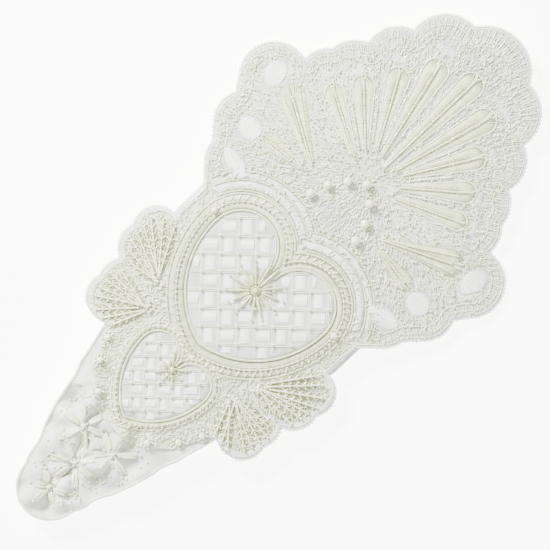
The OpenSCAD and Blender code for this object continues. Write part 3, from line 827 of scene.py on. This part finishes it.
def petal_plan(root, tip, radius, step=0.42, lean=1.1, root_half=0.9):
    """Starts and ends of fishbone stitches: from the middle line to the edge, lean half widths
    further along, on both sides."""
    along, length, side = axis_of(root, tip)
    s = np.arange(0.0, length + 0.75 * radius, step)
    far = np.minimum(s + lean * petal_half(s, length, root_half, radius) + 0.5, length + 0.97 * radius)
    half = petal_half(far, length, root_half, radius)
    starts, ends = [], []
    for sign in (-1, 1):
        starts.append(root + s[:, None] * along + sign * 0.12 * side)
        ends.append(root + far[:, None] * along + sign * half[:, None] * side)
    return np.concatenate(starts), np.concatenate(ends)


def petal_edge(root, tip, radius, root_half=0.9, count=40):
    """The petal's outline as a polyline, from the root up one side, round the end and back."""
    along, length, side = axis_of(root, tip)
    bow = length + radius * np.sin(np.linspace(0, np.pi / 2, 12))[1:]
    s = np.concatenate([np.linspace(0, length, count), bow])
    half = petal_half(s, length, root_half, radius)
    right = root + s[:, None] * along + half[:, None] * side
    left = root + s[:, None] * along - half[:, None] * side
    return np.concatenate([right, left[::-1]])


def bead_row(start, end, length, radius, level, gap=0.35):
    """Bugle beads end to end from start to end, with a seed bead in each gap."""
    span = np.linalg.norm(end - start)
    count = max(1, int(round(span / (length + gap))))
    t = (np.arange(count) + 0.5)[:, None] / count
    way = np.repeat((end - start)[None], count, 0)
    bugles = beads(start + (end - start) * t, way, span / count - gap - 0.5, radius, level)
    gaps = start + (end - start) * (np.arange(count + 1)[:, None] / count)
    seeds = round_beads(gaps, radius * 1.25, level, 8)
    return [bugles, seeds]


def fan_petal(petal, side):
    """A petal's root, tip and tip radius in the plan, on one side of the fan."""
    root, tip, radius = petal
    return (*[fan_points((side * x, y))[0] for x, y in (root, tip)], radius)


PETALS = [((3.5, 92), (12.2, 126.5), 4.6), ((6.5, 92.5), (19.5, 115), 4.2),
          ((9, 89), (26, 104.5), 4.0), ((10.5, 85), (31.5, 95.5), 3.4)]
PETALS = [fan_petal(p, s) for p in PETALS for s in (-1, 1)]
PETALS.append(fan_petal(((0, 89), (0, 132), 4.6), 1))
plans = [petal_plan(*p) for p in PETALS]
satin = [stitches(a, b, 0.27, rise=0.55) for a, b in plans]
sew("fan_petal_satin", "sleeve", "petal_satin", *satin, nodes=("fan_petals",))
edges = [cord_on_cloth(petal_edge(*p), 0.30, ON_NET + 0.22, step=0.9, sides=6) for p in PETALS]
sew("fan_petal_edging", "sleeve", "corded_band", *edges, finish="lattice_thread")
ribs = []
for a, b, r in PETALS:
    rib_end = b + (b - a) / np.linalg.norm(b - a) * r * 0.6
    ribs += bead_row(a, rib_end, 5.2, 0.36, ON_NET + 0.7)
gaps = []
neighbours = PETALS[2:-1:2] + [PETALS[6]] + PETALS[3:-1:2] + [PETALS[7]]
for (a, b, _), (c, d, _) in zip(PETALS[:-1:2] + PETALS[1:-1:2], neighbours):
    if not np.allclose(a, c):
        root, tip = (a + c) / 2, (b + d) / 2
        start, end = (root + (tip - root) * share for share in (0.12, 0.72))
        gaps += bead_row(start, end, 3.4, 0.34, ON_NET + 0.3)
sew("fan_rib_bugles", "sleeve", "bugle_beads", *ribs, *gaps, nodes=("fan_rib_beads",))

# %% [markdown]
# ## Side petals and satin insets
# The wide lobes at the fan's sides each hold a large and a small leaf, worked like the petals,
# and three smooth white patches of laid satin, the brightest parts of the whole glove.

# %% Side petals and insets
SIDE_PETALS = [((18.7, 72), (40.5, 83.5), 5.0), ((20, 68.5), (34, 67), 3.3)]
INSETS = [((51, 85), (3.6, 6.6), -15), ((43, 65.2), (4.4, 4.8), 0), ((37.8, 52.8), (6.2, 3.6), 12)]


def laid_patch(middle, halves, tilt, step=0.36):
    """Parallel stitches over an ellipse: at x across it each one is 2 b sqrt(1 - (x/a)^2) long."""
    x = np.arange(-halves[0] + step / 2, halves[0], step)
    reach = halves[1] * np.sqrt(1 - (x / halves[0]) ** 2)
    turn = np.radians(tilt)
    frame_x, frame_y = np.array([np.cos(turn), np.sin(turn)]), np.array([-np.sin(turn), np.cos(turn)])
    low = middle + x[:, None] * frame_x - reach[:, None] * frame_y
    return low, low + 2 * reach[:, None] * frame_y


for side, sign in (("left", -1), ("right", 1)):
    leaves = [fan_petal(p, sign) for p in SIDE_PETALS]
    satin = [stitches(*petal_plan(*p), 0.27, rise=0.55) for p in leaves]
    sew("side_petal_satin_" + side, "sleeve", "petal_satin", *satin, nodes=("side_petals_" + side,))
    veins = [row for a, b, _ in leaves for row in bead_row(a, b, 4.2, 0.38, ON_NET + 0.75)]
    for a, b, r in leaves:
        way = (b - a) / np.linalg.norm(b - a)
        tip, spread = b + way * 1.5, across(way) * r
        for s in (-0.62, 0.62):
            start = a + (b - a) * 0.35 + spread * s * 0.35
            veins += bead_row(start, tip + spread * s, 3.2, 0.30, ON_NET + 0.7)
    sew("side_petal_beads_" + side, "sleeve", "bugle_beads", *veins)
    patches = [stitches(*laid_patch(fan_points((sign * x, y))[0], halves, sign * tilt), 0.26, rise=0.42)
               for (x, y), halves, tilt in INSETS]
    sew("satin_inset_" + side, "sleeve", "inset_satin", *patches, nodes=("satin_insets_" + side,))

# %% [markdown]
# ## Pearls
# Pearls mark the places where the eye should rest: an arc of seven below the shell, one on each
# shoulder of the large heart and three down each edge of the point. Small seed beads ring them.

# %% Pearls
ARC = fan_points((0, 81), (5.5, 77), (-5.5, 77), (9.5, 71), (-9.5, 71), (11.5, 64.5), (-11.5, 64.5))
SHOULDERS = wrist_points((30.5, 36), (-30.5, 36))
EDGE_PEARLS = wrist_points(*[(s * x, y) for x, y in ((24, -22), (20, -29.5), (12.5, -37.5)) for s in (-1, 1)])


def seed_ring(middles, radius, count, bead_r, level=ON_NET):
    """Seed beads round each middle, at equal turns."""
    a = np.arange(count) / count * 2 * np.pi
    spots = middles[:, None] + radius * np.stack([np.cos(a), np.sin(a)], -1)[None]
    return round_beads(spots.reshape(-1, 2), bead_r, level, 8)


for name, spots, radius, node, body in (
        ("arc_pearls", ARC, 1.6, "pearl_arc", "sleeve"),
        ("shoulder_pearl_pair", SHOULDERS, 1.2, "shoulder_pearls", "sleeve"),
        ("edge_pearl_set", EDGE_PEARLS, 1.2, "edge_pearls", "hand_point")):
    level = ON_NET + (0.5 if body == "sleeve" else 0.1)
    sew(name, body, "pearls", round_beads(spots, radius, level, 20), nodes=(node,))
    seeds = seed_ring(spots, radius + 0.75, 9, 0.42, ON_NET + 0.1)
    sew(name + "_seeds", body, "bugle_beads", seeds)

# %% [markdown]
# ## Hearts
# Two hearts lie over the wrist, tip to notch. A heart is a window of white satin checks under a
# diagonal lattice of couched cords, framed by a band of slanting stitches between two cords. The
# large heart's tip and the small heart's lobes lie at the wrist fold, so both bend with the cloth.

# %% Heart outlines
WINDOW_REACH = 60.0
DIAGONALS = np.array([[1, 1], [-1, 1]]) / np.sqrt(2)


def heart_line(width, depth, lobe, middle_y, grow=0.0, count=26):
    """A closed heart: a lobe of radius r above its widest line, then an arc of radius w + a about
    (-a, 0) with a = (d^2 - w^2) / 2w down to its tip, mirrored."""
    w, d, r = width + grow, depth + 1.3 * grow, lobe + grow
    c = w - r
    a = (d * d - w * w) / (2 * w)
    first = np.pi if c >= r else np.arccos(-c / r)
    t = np.linspace(first, 0, count)
    right = np.stack([c + r * np.cos(t), r * np.sin(t)], -1)
    t = np.linspace(0, np.arctan2(d, a), count)[1:]
    right = np.concatenate([right, np.stack([(w + a) * np.cos(t) - a, -(w + a) * np.sin(t)], -1)])
    closed = np.concatenate([right, right[-2:0:-1] * [-1, 1], right[:1] * [-1, 1]])
    return closed + [0, middle_y]


def inside(line, points):
    """True where points lie inside a closed line: rays to the right cross it an odd number of times."""
    p, q = line, np.roll(line, -1, 0)
    y = points[:, 1:2]
    spans = (p[:, 1] > y) != (q[:, 1] > y)
    rise = np.where(q[:, 1] == p[:, 1], 1e-9, q[:, 1] - p[:, 1])
    crossing = p[:, 0] + (y - p[:, 1]) * (q[:, 0] - p[:, 0]) / rise
    return (spans & (points[:, :1] < crossing)).sum(1) % 2 == 1


def clipped_lines(line, middle, turn, pitch, reach, step=0.7):
    """Runs of points on parallel lines at a turn across a closed line's inside."""
    way = np.array([np.cos(turn), np.sin(turn)])
    side = np.array([-way[1], way[0]])
    runs = []
    for k in np.arange(-int(reach / pitch), int(reach / pitch) + 1):
        s = np.arange(-reach, reach, step)
        spots = middle + k * pitch * side + s[:, None] * way
        kept = inside(line, spots)
        for run in np.split(np.arange(len(s)), np.flatnonzero(np.diff(kept.astype(int))) + 1):
            if kept[run[0]] and len(run) > 3:
                runs.append(spots[run])
    return runs


def window_checks(line, middle, pitch, margin, step=0.40):
    """Satin squares in the cells of the lattice, a margin smaller all round, with their stitches
    turned a quarter in every other cell, as in a basket."""
    n = int(WINDOW_REACH / pitch)
    i, j = np.meshgrid(np.arange(-n, n), np.arange(-n, n), indexing="ij")
    cell = np.stack([i.ravel(), j.ravel()], -1)
    rows = np.arange(margin, pitch - margin + 0.01, step)
    starts, ends = [], []
    for odd in (0, 1):
        first = np.stack([np.full(len(rows), margin), rows], -1)
        last = np.stack([np.full(len(rows), pitch - margin), rows], -1)
        own = cell[(cell.sum(1) % 2) == odd][:, None] * pitch
        flip = slice(None, None, -1 if odd else 1)
        starts.append((own + first[None, :, flip]).reshape(-1, 2) @ DIAGONALS + middle)
        ends.append((own + last[None, :, flip]).reshape(-1, 2) @ DIAGONALS + middle)
    start, end = np.concatenate(starts), np.concatenate(ends)
    kept = inside(line, start) & inside(line, end)
    return start[kept], end[kept]


def heart(name, shape, band, pitch, lift, nodes):
    """One heart: ground, checks, lattice, crossings, band, cords and seed beads. The shape is
    the (width, depth, lobe, middle_y) that heart_line takes."""
    middle = np.array([0, shape[3] - lift])
    window = heart_line(*shape, -0.5)
    runs = clipped_lines(heart_line(*shape, 0.3), middle, 0.0, 0.5, WINDOW_REACH)
    ground = [cord_on_cloth(run, 0.27, ON_NET - 0.05, step=1.6, sides=5) for run in runs]
    sew(name + "_window_ground", None, "organza", *ground)
    checks = stitches(*window_checks(window, middle, pitch, 0.14 * pitch), 0.26, rise=0.5)
    sew(name + "_satin_checks", None, "inset_satin", checks)
    bars = []
    for turn in (np.pi / 4, -np.pi / 4):
        level = ON_NET + 0.15 + (turn > 0) * 0.15
        for run in clipped_lines(window, middle, turn, pitch, WINDOW_REACH):
            shift = across((run[-1] - run[0]) / np.linalg.norm(run[-1] - run[0])) * 0.30
            bars += [cord_on_cloth(run + s * shift, 0.22, level, step=1.0, sides=6) for s in (-1, 1)]
    sew(name + "_lattice_cords", None, "lattice_thread", *bars, nodes=nodes[1:])
    n = int(WINDOW_REACH / pitch)
    i, j = np.meshgrid(np.arange(-n, n), np.arange(-n, n), indexing="ij")
    crossing = middle + np.stack([i.ravel(), j.ravel()], -1) * pitch @ DIAGONALS
    crossing = crossing[inside(heart_line(*shape, -1.5), crossing)]
    dots = round_beads(crossing, 0.5, ON_NET + 0.75, 8)
    sew(name + "_crossing_beads", None, "bugle_beads", dots)
    inner, outer = [resample(heart_line(*shape, g), 0.45)[0] for g in (0.5, band - 0.4)]
    t = np.linspace(0, 1, int(1.05 * len(outer)))

    def pick(path, shift):
        """Points of a closed path at the shares t, moved on by a shift."""
        return path[((t + shift) % 1.0 * (len(path) - 1)).astype(int)]

    slant = 1.6 / (len(outer) * 0.45)
    start, end = pick(inner, 0), pick(outer, slant)
    halfway = start + (end - start) * 0.52
    inner_satin = stitches(start, halfway, 0.25, rise=0.40)
    outer_satin = stitches(halfway, pick(outer, -slant * 0.3), 0.25, rise=0.40)
    sew(name + "_band_satin", None, "corded_band", inner_satin, outer_satin, nodes=nodes[:1])
    cords = [cord_on_cloth(resample(heart_line(*shape, grow), 0.5)[0], r, ON_NET + up, step=0.6, sides=7)
             for grow, r, up in ((0.1, 0.42, 0.35), (band * 0.52, 0.28, 0.45), (band, 0.36, 0.1))]
    sew(name + "_band_cords", None, "corded_band", *cords)
    spots = resample(heart_line(*shape, band * 0.52), 1.9)[0]
    row, way = resample(heart_line(*shape, band * 0.78), 2.9)
    seeds = round_beads(spots, 0.46, ON_NET + 0.75, 8)
    cuts = beads(row, across(way) + 0.6 * way, 1.9, 0.32, ON_NET + 0.4)
    sew(name + "_band_beads", None, "bugle_beads", seeds, cuts)


HEART_HALF, SMALL_HALF, LOBE_SHARE = 27.5, 15.5, 0.47
HEART_Y, SMALL_Y = 34 * KA, -12.5 * KH
FLOWER_Y, SMALL_FLOWER_Y = HEART_Y - 7 * KA, SMALL_Y - 1
LARGE_HEART = (HEART_HALF * KW, 34 * KA, HEART_HALF * LOBE_SHARE * KW, HEART_Y)
SMALL_HEART = (SMALL_HALF * KW, 24.5 * KH, SMALL_HALF * LOBE_SHARE * KW, SMALL_Y)
heart("large_heart", LARGE_HEART, 6.0, 6.4, 7 * KA, ("heart_band", "heart_lattice"))
heart("small_heart", SMALL_HEART, 3.0, 4.8, 1.0, ("small_heart_band", "small_heart_lattice"))

# %% [markdown]
# ## Flowers and stars
# A sewn flower is a ring of bugle beads round a knot of seed beads. Two sit in the hearts; three
# larger stars and a small cluster are scattered over the bare point, with long leaf-like beads.

# %% Flowers and stars
LEAF = ((0, 0.3), (0.12, 0.62), (0.35, 1.0), (0.6, 0.92), (0.85, 0.5), (1, 0.2))


def flower(name, middle, rays, r_in, r_out, level, node, body, leaf=False, start=0.0, finish=None):
    """Rays of beads from r_in to r_out about a middle, a knot of seeds and a pearl-like centre."""
    a = start + np.arange(rays) / rays * 2 * np.pi + chance.uniform(-0.1, 0.1, rays)
    way = np.stack([np.cos(a), np.sin(a)], -1)
    length = (r_out - r_in) * chance.uniform(0.78, 1.06, rays)
    mids = middle + way * (r_in + length / 2)[:, None]
    if leaf:
        left = across(way)
        shapes = [beads(mids + left * s, way + left * s * 0.12, length * q, 0.62, level + 0.25, 10, LEAF)
                  for s, q in ((0.55, 1.0), (-0.55, 0.86))]
        shapes.append(beads(mids, way, length * 0.8, 0.36, level + 0.55, 8))
    else:
        shapes = [beads(mids, way, length, 0.46, level + 0.1)]
        between = a + np.pi / rays
        way_b = np.stack([np.cos(between), np.sin(between)], -1)
        mids_b = middle + way_b * (r_in + length * 0.3)[:, None]
        shapes.append(beads(mids_b, way_b, length * 0.5, 0.34, level + 0.1))
    ends = round_beads(middle + way * (r_out + 0.7), 0.48, level, 8)
    knot = seed_ring(middle[None], r_in * 0.72, max(5, rays - 2), 0.5, level + 0.2)
    core = round_beads(middle[None], r_in * 0.55, level + 0.3, 14)
    sew(name, body, "bugle_beads", *shapes, ends, knot, core, nodes=(node,), finish=finish)


flower("large_heart_bead_flower", np.array([0, FLOWER_Y]), 13, 2.0, 9.8, ON_NET + 0.7,
       "heart_flower", "sleeve", finish="olive_beads")
flower("small_heart_bead_flower", np.array([0, SMALL_FLOWER_Y]), 8, 1.7, 5.4, ON_NET + 0.6,
       "small_heart_flower", "hand_point", finish="olive_beads")
STARS = wrist_points((-7.2, -49.5), (7.2, -49.5), (0, -61))
for name, spot, rays, r_in, r_out, turn in (
        ("star_left", STARS[0], 6, 1.5, 9.2, 0.3),
        ("star_right", STARS[1], 6, 1.5, 9.2, 0.75),
        ("star_centre", STARS[2], 7, 1.7, 9.6, 0.1)):
    flower(name + "_beads", spot, rays, r_in, r_out, ON_ORGANZA, name, "hand_point", True, turn)
flower("tip_cluster_beads", np.array([0, 11.4 - HAND_LEN]), 6, 1.4, 6.4, ON_ORGANZA,
       "tip_cluster", "hand_point", True, 0.5)

# %% [markdown]
# ## Sprays
# On each side of the wrist two sprays of fern fan out from the hearts. A frond is a bugle-bead
# rib with short stitches slanting off both sides. The fronds stand apart with gaps of bare net
# between them. The leaf stitches are a darker olive, and their darkness is painted shade that
# stands in for the shade in those gaps, which makes these four corners the deepest parts of the lace.

# %% Fronds
def frond(root, tip, width, step=0.95, lean=2.2):
    """Short stitches slanting off a rib: their reach is w sin(pi s)^0.6 at a share s of the rib."""
    along, length, side = axis_of(root, tip)
    s = np.arange(0.08, 0.98, step / length)
    reach = width * np.sin(np.pi * (0.12 + 0.86 * s)) ** 0.6
    starts, ends = [], []
    for sign in (-1, 1):
        a = root + (s * length)[:, None] * along
        starts.append(a)
        ends.append(a + sign * reach[:, None] * side + (lean * reach / width)[:, None] * along)
    return np.concatenate(starts), np.concatenate(ends)


def spray(place, side, word, hub, fronds):
    """One spray: leaf stitches in a darker olive satin, partly painted shade, off each frond's rib, and the
    ribs of beads.
    """
    flip = np.array([side, 1.0])
    hub = wrist_points(hub)[0] * flip
    tips = wrist_points(*fronds) * flip
    leaves, ribs = [], []
    for n, tip in enumerate(tips):
        tip = tip + chance.normal(0, 0.35, 2)
        root = hub + (tip - hub) * (0.10 + 0.06 * (n % 2)) + chance.normal(0, 0.45, 2)
        leaves.append(stitches(*frond(root, tip, 1.6, 0.7), 0.20, rise=0.5))
        ribs += bead_row(root, tip, 4.4, 0.36, ON_NET + 0.7)
        a, b = frond(root + (tip - root) * 0.2, tip, 1.5, 2.6, 1.6)
        ribs.append(beads((a + b) / 2, b - a, 1.7, 0.28, ON_NET + 0.45, 7))
    name, nodes = f"{place}_spray_{word}", [f"{place}_spray_{kind}_{word}" for kind in ("lace", "beads")]
    # The leaf stitches get the darker olive finish, whose darkness is painted shade of the gaps between
    # fronds.
    sew(name + "_leaf_stitches", None, "petal_satin", *leaves, nodes=nodes[:1], finish="olive_satin_painted_shade")
    knot = round_beads(hub[None] + chance.normal(0, 1.3, (9, 2)), 0.55, ON_NET + 0.4, 9)
    sew(name + "_bead_ribs", None, "bugle_beads", *ribs, knot, nodes=nodes[1:])


UPPER_FRONDS = [(37.2, 1.9), (42.6, 3.6), (43.9, 7.4), (44.2, 10.6),
                (44.6, 14.2), (43.5, 18.2), (40.4, 21.2), (36.6, 21.6)]
LOWER_FRONDS = [(37.6, -2.6), (40.2, -5.6), (40.2, -8.8), (39.3, -12.0),
                (37.6, -15.2), (34.0, -18.0), (30.2, -18.8), (26.4, -18.0)]
for side, word in ((-1, "left"), (1, "right")):
    spray("upper", side, word, (25.5, 4.0), UPPER_FRONDS)
    spray("lower", side, word, (21.5, -4.5), LOWER_FRONDS)

# %% [markdown]
# ## Scallops of the sprays
# The sprays end in the same satin-stitched scallops as the fan, only narrower. The stitching runs
# through the wrist fold without a break, so it bends with the cloth.

# %% Spray borders and scrolls
spray_edges = []
for side in (-1, 1):
    part = edge[(edge[:, 0] * side > 24 * KW) & (edge[:, 1] < 26.5 * KA) & (edge[:, 1] > -20 * KH)]
    spots = resample(part, 0.42)[0]
    way = towards_centre(spots)
    spots_in = spots + way * (2.6 + chance.uniform(-0.3, 0.3, len(spots)))[:, None]
    spray_edges.append(stitches(spots + way * 0.25, spots_in, 0.24, rise=0.28))
sew("spray_border_satin", None, "border_stitching", *spray_edges)


def arc_band(middle, r_in, r_out, first, last, step=0.42, slant=0.08):
    """Satin stitches across an arc: from radius r_in to r_out, turned on by a slant."""
    t = np.arange(np.radians(first), np.radians(last), step / r_out)
    a = middle + r_in * np.stack([np.cos(t), np.sin(t)], -1)
    b = middle + r_out * np.stack([np.cos(t + slant), np.sin(t + slant)], -1)
    return a, b


def arc_line(middle, radius, first, last, count=60):
    """Points on an arc."""
    t = np.radians(np.linspace(first, last, count))
    return middle + radius * np.stack([np.cos(t), np.sin(t)], -1)


SCROLL_X = (HEART_HALF - HEART_HALF * LOBE_SHARE) * KW
for side, sign in (("left", -1), ("right", 1)):
    middle = np.array([sign * SCROLL_X, HEART_Y])
    first, last = (22, 127) if sign > 0 else (53, 158)
    inner = stitches(*arc_band(middle, 20.2, 23.4, first, last), 0.25, rise=0.4)
    outer_turn = (first + 8 * (sign > 0), last - 8 * (sign < 0))
    outer = stitches(*arc_band(middle, 24.2, 26.4, *outer_turn, slant=-0.08), 0.24, rise=0.3)
    sew("scroll_satin_" + side, "sleeve", "border_stitching", inner, outer, nodes=("scroll_" + side,))
    lines = [arc_line(middle, r, first - 2, last + 2) for r in (19.9, 23.8, 26.8)]
    cords = [cord_on_cloth(line, 0.3, ON_NET + 0.1, step=0.7, sides=6) for line in lines]
    seed_spots = resample(arc_line(middle, 27.9, first, last), 2.3)[0]
    seeds = round_beads(seed_spots, 0.45, ON_NET + 0.1, 8)
    sew("scroll_cords_" + side, "sleeve", "corded_band", *cords, seeds)

# %% [markdown]
# ## Filling the field
# The net between the motifs is never left empty. Beaders fill it with short stitches, running
# lines of cut beads and loose seeds. The fill follows the shell: its lines run round the middle
# of the fan, step outwards to the border, and thin out towards the white insets.

# %% Fill of the fan
def in_any(points, outlines):
    """True where points lie inside any of the outlines."""
    found = np.zeros(len(points), bool)
    for line in outlines:
        found |= inside(line, points)
    return found


def ellipse(middle, halves, grow=0.5, count=24):
    """A closed ellipse, for keeping the fill off a patch."""
    t = np.linspace(0, 2 * np.pi, count)
    return middle + np.stack([(halves[0] + grow) * np.cos(t), (halves[1] + grow) * np.sin(t)], -1)


petal_outlines = [petal_edge(*p) for p in PETALS]
petal_outlines += [petal_edge(*fan_petal(p, s)) for p in SIDE_PETALS for s in (-1, 1)]
inset_outlines = [ellipse(fan_points((s * x, y))[0], halves) for (x, y), halves, _ in INSETS for s in (-1, 1)]
hearts = [heart_line(*LARGE_HEART, 6.2), heart_line(*SMALL_HEART, 3.2)]
pearl_rings = [ellipse(p, (2.4, 2.4)) for p in ARC]
scroll_discs = [ellipse((s * SCROLL_X, HEART_Y), (26.9, 26.9), 0.3, 60) for s in (-1, 1)]


def scatter(count, low, high):
    """Random spots in a box that lie on the lace and 1.2 mm or more inside its edge."""
    spots = chance.uniform(low, high, (count, 2))
    turn = np.arctan2(spots[:, 1], spots[:, 0])
    return spots[np.hypot(*spots.T) < edge_distance(turn) - 1.2]


CUT_BEAD = (0.26, ON_NET + 0.1, True)


def fill(name, spots, hub, spread, reach, slot, body, radius=0.22, level=ON_NET, bead=False):
    """Short stitches or cut beads that point away from a hub, turned at random by a spread of
    angles, with lengths at random between the two of a reach."""
    way = turned(spots - hub, spread)
    lengths = chance.uniform(*reach, len(spots))
    way = way / np.linalg.norm(way, axis=1, keepdims=True)
    if bead:
        part = beads(spots, way, lengths, radius, level, 7)
    else:
        half = way * lengths[:, None] / 2
        part = stitches(spots - half, spots + half, radius, level, rise=0.2, steps=4)
    sew(name, body, slot, part)


def turned(way, spread):
    """Directions turned by a random angle of the given spread."""
    a = chance.normal(0, spread, len(way))
    return way * np.cos(a)[:, None] + across(way) * np.sin(a)[:, None]


def shared(spots, *parts):
    """Splits spots into runs whose lengths have the given shares."""
    cut = (np.cumsum(parts)[:-1] / sum(parts) * len(spots)).astype(int)
    return np.split(spots, cut)


field = scatter(17000, (-62 * KX, 44 * KA), (62 * KX, 155 * KA))
field = field[~in_any(field, petal_outlines + inset_outlines + hearts + pearl_rings + scroll_discs)]
field_edge = edge_distance(np.arctan2(field[:, 1], field[:, 0]))
field = field[np.hypot(*field.T) < field_edge - 0.75 * border_depth(field)]
threads, glints, seeds = shared(field, 4, 1.1, 1)
fill("field_stitches", threads, FAN_HUB, 0.22, (2.4, 5.6), "border_stitching", "sleeve", 0.15)
fill("field_cut_beads", glints, FAN_HUB, 0.35, (1.6, 3.0), "bugle_beads", "sleeve", *CUT_BEAD)
seed_radius = chance.uniform(0.32, 0.5, len(seeds))
sew("field_seed_beads", "sleeve", "bugle_beads", round_beads(seeds, seed_radius, ON_NET + 0.1, 7))

leaves = []
for x, y, r in both_sides(FAN_LOBES[:5]):
    spot = fan_points((x, y))[0]
    way = (FAN_HUB - spot) / np.linalg.norm(FAN_HUB - spot)
    tilt = np.degrees(np.arctan2(way[1], way[0])) - 90
    leaf = laid_patch(spot + way * (0.5 - 0.1 * r), (0.30 * r, 0.16 * r), tilt, 0.42)
    leaves.append(stitches(*leaf, 0.24, rise=0.3))
sew("scallop_leaf_patches", "sleeve", "border_stitching", *leaves)

over = [arc_line(np.array([s * SCROLL_X, HEART_Y]), r, first, first + 100, 24)
        for s, first in ((-1, 50), (1, 30)) for r in (21.6, 25.2)]
over = np.concatenate(over) + chance.normal(0, 0.7, (96, 2))
over = over[~in_any(over, hearts)]
# Each of these spots has its own hub on the diagonal, so the beads scatter about one direction.
fill("scroll_cut_beads", over, over - [0.7, 0.7], 1.2, (1.2, 2.4), "bugle_beads", "sleeve",
     0.26, ON_NET + 0.45, True)

lines = []
even_edge = resample(fan_edge, 0.5)[0]
for part, more, length in ((0.5, 0.0, 1.3), (1.0, 0.3, 2.2)):
    spots, way = resample(inside_line(even_edge, border_depth(even_edge) * part + more), length + 0.55)
    lines.append(beads(spots, way, length, 0.24, ON_NET + 0.2, 7))
    lines.append(round_beads(spots + way * (length / 2 + 0.28), 0.30, ON_NET + 0.2, 7))
comb = resample(fan_edge, 2.4)[0]
comb_way, comb_depth = towards_centre(comb), border_depth(comb)
comb_mid = comb + comb_way * comb_depth[:, None] * 0.52
lines.append(beads(comb_mid, comb_way, comb_depth * 0.78, 0.21, ON_NET + 0.35, 6))
sew("scallop_bead_lines", "sleeve", "bugle_beads", *lines)

near = scatter(7000, (-48 * KW, -46 * KH), (48 * KW, 46 * KA))
near = near[~in_any(near, hearts) & ~((near[:, 1] > 42 * KA) & in_any(near, scroll_discs))]
threads, glints = shared(near, 3, 1)
WRIST_HUB = [0, 12.0]
fill("wrist_stitches", threads, WRIST_HUB, 0.6, (1.4, 2.8), "petal_satin", None)
fill("wrist_cut_beads", glints, WRIST_HUB, 0.9, (1.2, 2.2), "bugle_beads", None, *CUT_BEAD)

# %% [markdown]
# ## The bare point
# Below the hearts the organza is bare and gathered by the stars' stitches. A rolled hem closes
# its two edges. A few stray bugle beads tie the lace to the stars.

# %% Point binding and stray beads
low_edge = np.linspace(-HAND_LEN + 0.02, -20.5 * KH, 190)
hem_right = np.stack([organza_half(low_edge) - 0.35, low_edge], -1)
hem_line = np.concatenate([hem_right[::-1], hem_right * [-1, 1]])
hem = cord_on_cloth(hem_line, 0.55, 0.35, step=0.7)
sew("point_rolled_hem", "hand_point", "binding_satin", hem, nodes=("point_binding",))
stray = chance.uniform((-20 * KW, -78 * KH), (20 * KW, -40 * KH), (150, 2))
stray = stray[np.abs(stray[:, 0]) < organza_half(stray[:, 1]) - 2.5]
stray_way = chance.normal(0, 1, stray.shape)
bugles = beads(stray[:46], stray_way[:46], 2.3, 0.36, ON_ORGANZA, 7)
seeds = round_beads(stray[46:], 0.42, ON_ORGANZA, 8)
sew("point_stray_beads", "hand_point", "bugle_beads", bugles, seeds)

# %% [markdown]
# ## Camera, light and floor
# The glove is seen from straight above with a long lens, which keeps its outline true. Two soft
# lights, a bright surround and the floor's own glow make the table nearly white and the shadows
# faint, as on a shop's white table. The key light comes in low from one side, so that raised
# threads show.

# %% Camera, light and floor
from mathutils import Vector

FLOOR_HALF = 2.0
CAMERA_AT = (0.0007, 0.0007, 1.086)
CAMERA_TURN = 46.4
WARM = (0.99, 1.0, 0.94)


def floor_piece():
    """A pale floor under the glove that glows like a light table."""
    mesh = bpy.data.meshes.new("floor")
    h = FLOOR_HALF
    mesh.from_pydata([(-h, -h, 0), (h, -h, 0), (h, h, 0), (-h, h, 0)], [], [(0, 1, 2, 3)])
    floor = bpy.data.objects.new("floor", mesh)
    bpy.context.scene.collection.objects.link(floor)
    paint = bpy.data.materials.new("floor_paint")
    paint.use_nodes = True
    shader = paint.node_tree.nodes["Principled BSDF"]
    shader.inputs["Base Color"].default_value = (0.93, 0.93, 0.93, 1)
    shader.inputs["Roughness"].default_value = 0.9
    shader.inputs["Emission Color"].default_value = (1, 1, 1, 1)
    shader.inputs["Emission Strength"].default_value = 6.0
    floor.data.materials.append(paint)
    floor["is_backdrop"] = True


def area_light(name, place, size, power):
    """A square soft light that faces the glove."""
    data = bpy.data.lights.new(name, "AREA")
    data.size, data.energy, data.color = size, power, WARM
    lamp = bpy.data.objects.new(name, data)
    lamp.location = place
    lamp.rotation_euler = (-Vector(place)).to_track_quat("-Z", "Y").to_euler()
    bpy.context.scene.collection.objects.link(lamp)


floor_piece()
area_light("key", (-1.25, 0.1, 0.95), 0.5, 130)
area_light("fill", (1.1, -0.4, 1.4), 1.2, 16)
world = bpy.data.worlds.new("studio")
world.use_nodes = True
world.node_tree.nodes["Background"].inputs["Color"].default_value = (*WARM, 1)
world.node_tree.nodes["Background"].inputs["Strength"].default_value = 1.4
bpy.context.scene.world = world
lens = bpy.data.cameras.new("camera")
lens.lens = 200
camera = bpy.data.objects.new("camera", lens)
camera.location = CAMERA_AT
camera.rotation_euler = (0, 0, np.radians(CAMERA_TURN))
bpy.context.scene.collection.objects.link(camera)
bpy.context.scene.camera = camera
print("camera", camera.location[:], "turned", CAMERA_TURN, "degrees")

# %% Sizes and finish
sizes = {"cad": cad_box, "visual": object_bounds()}
sizes = {k: [[float(x) for x in corner] for corner in v] for k, v in sizes.items()}
print({k: [round((b - a) / MM, 1) for a, b in zip(*v)] for k, v in sizes.items()})
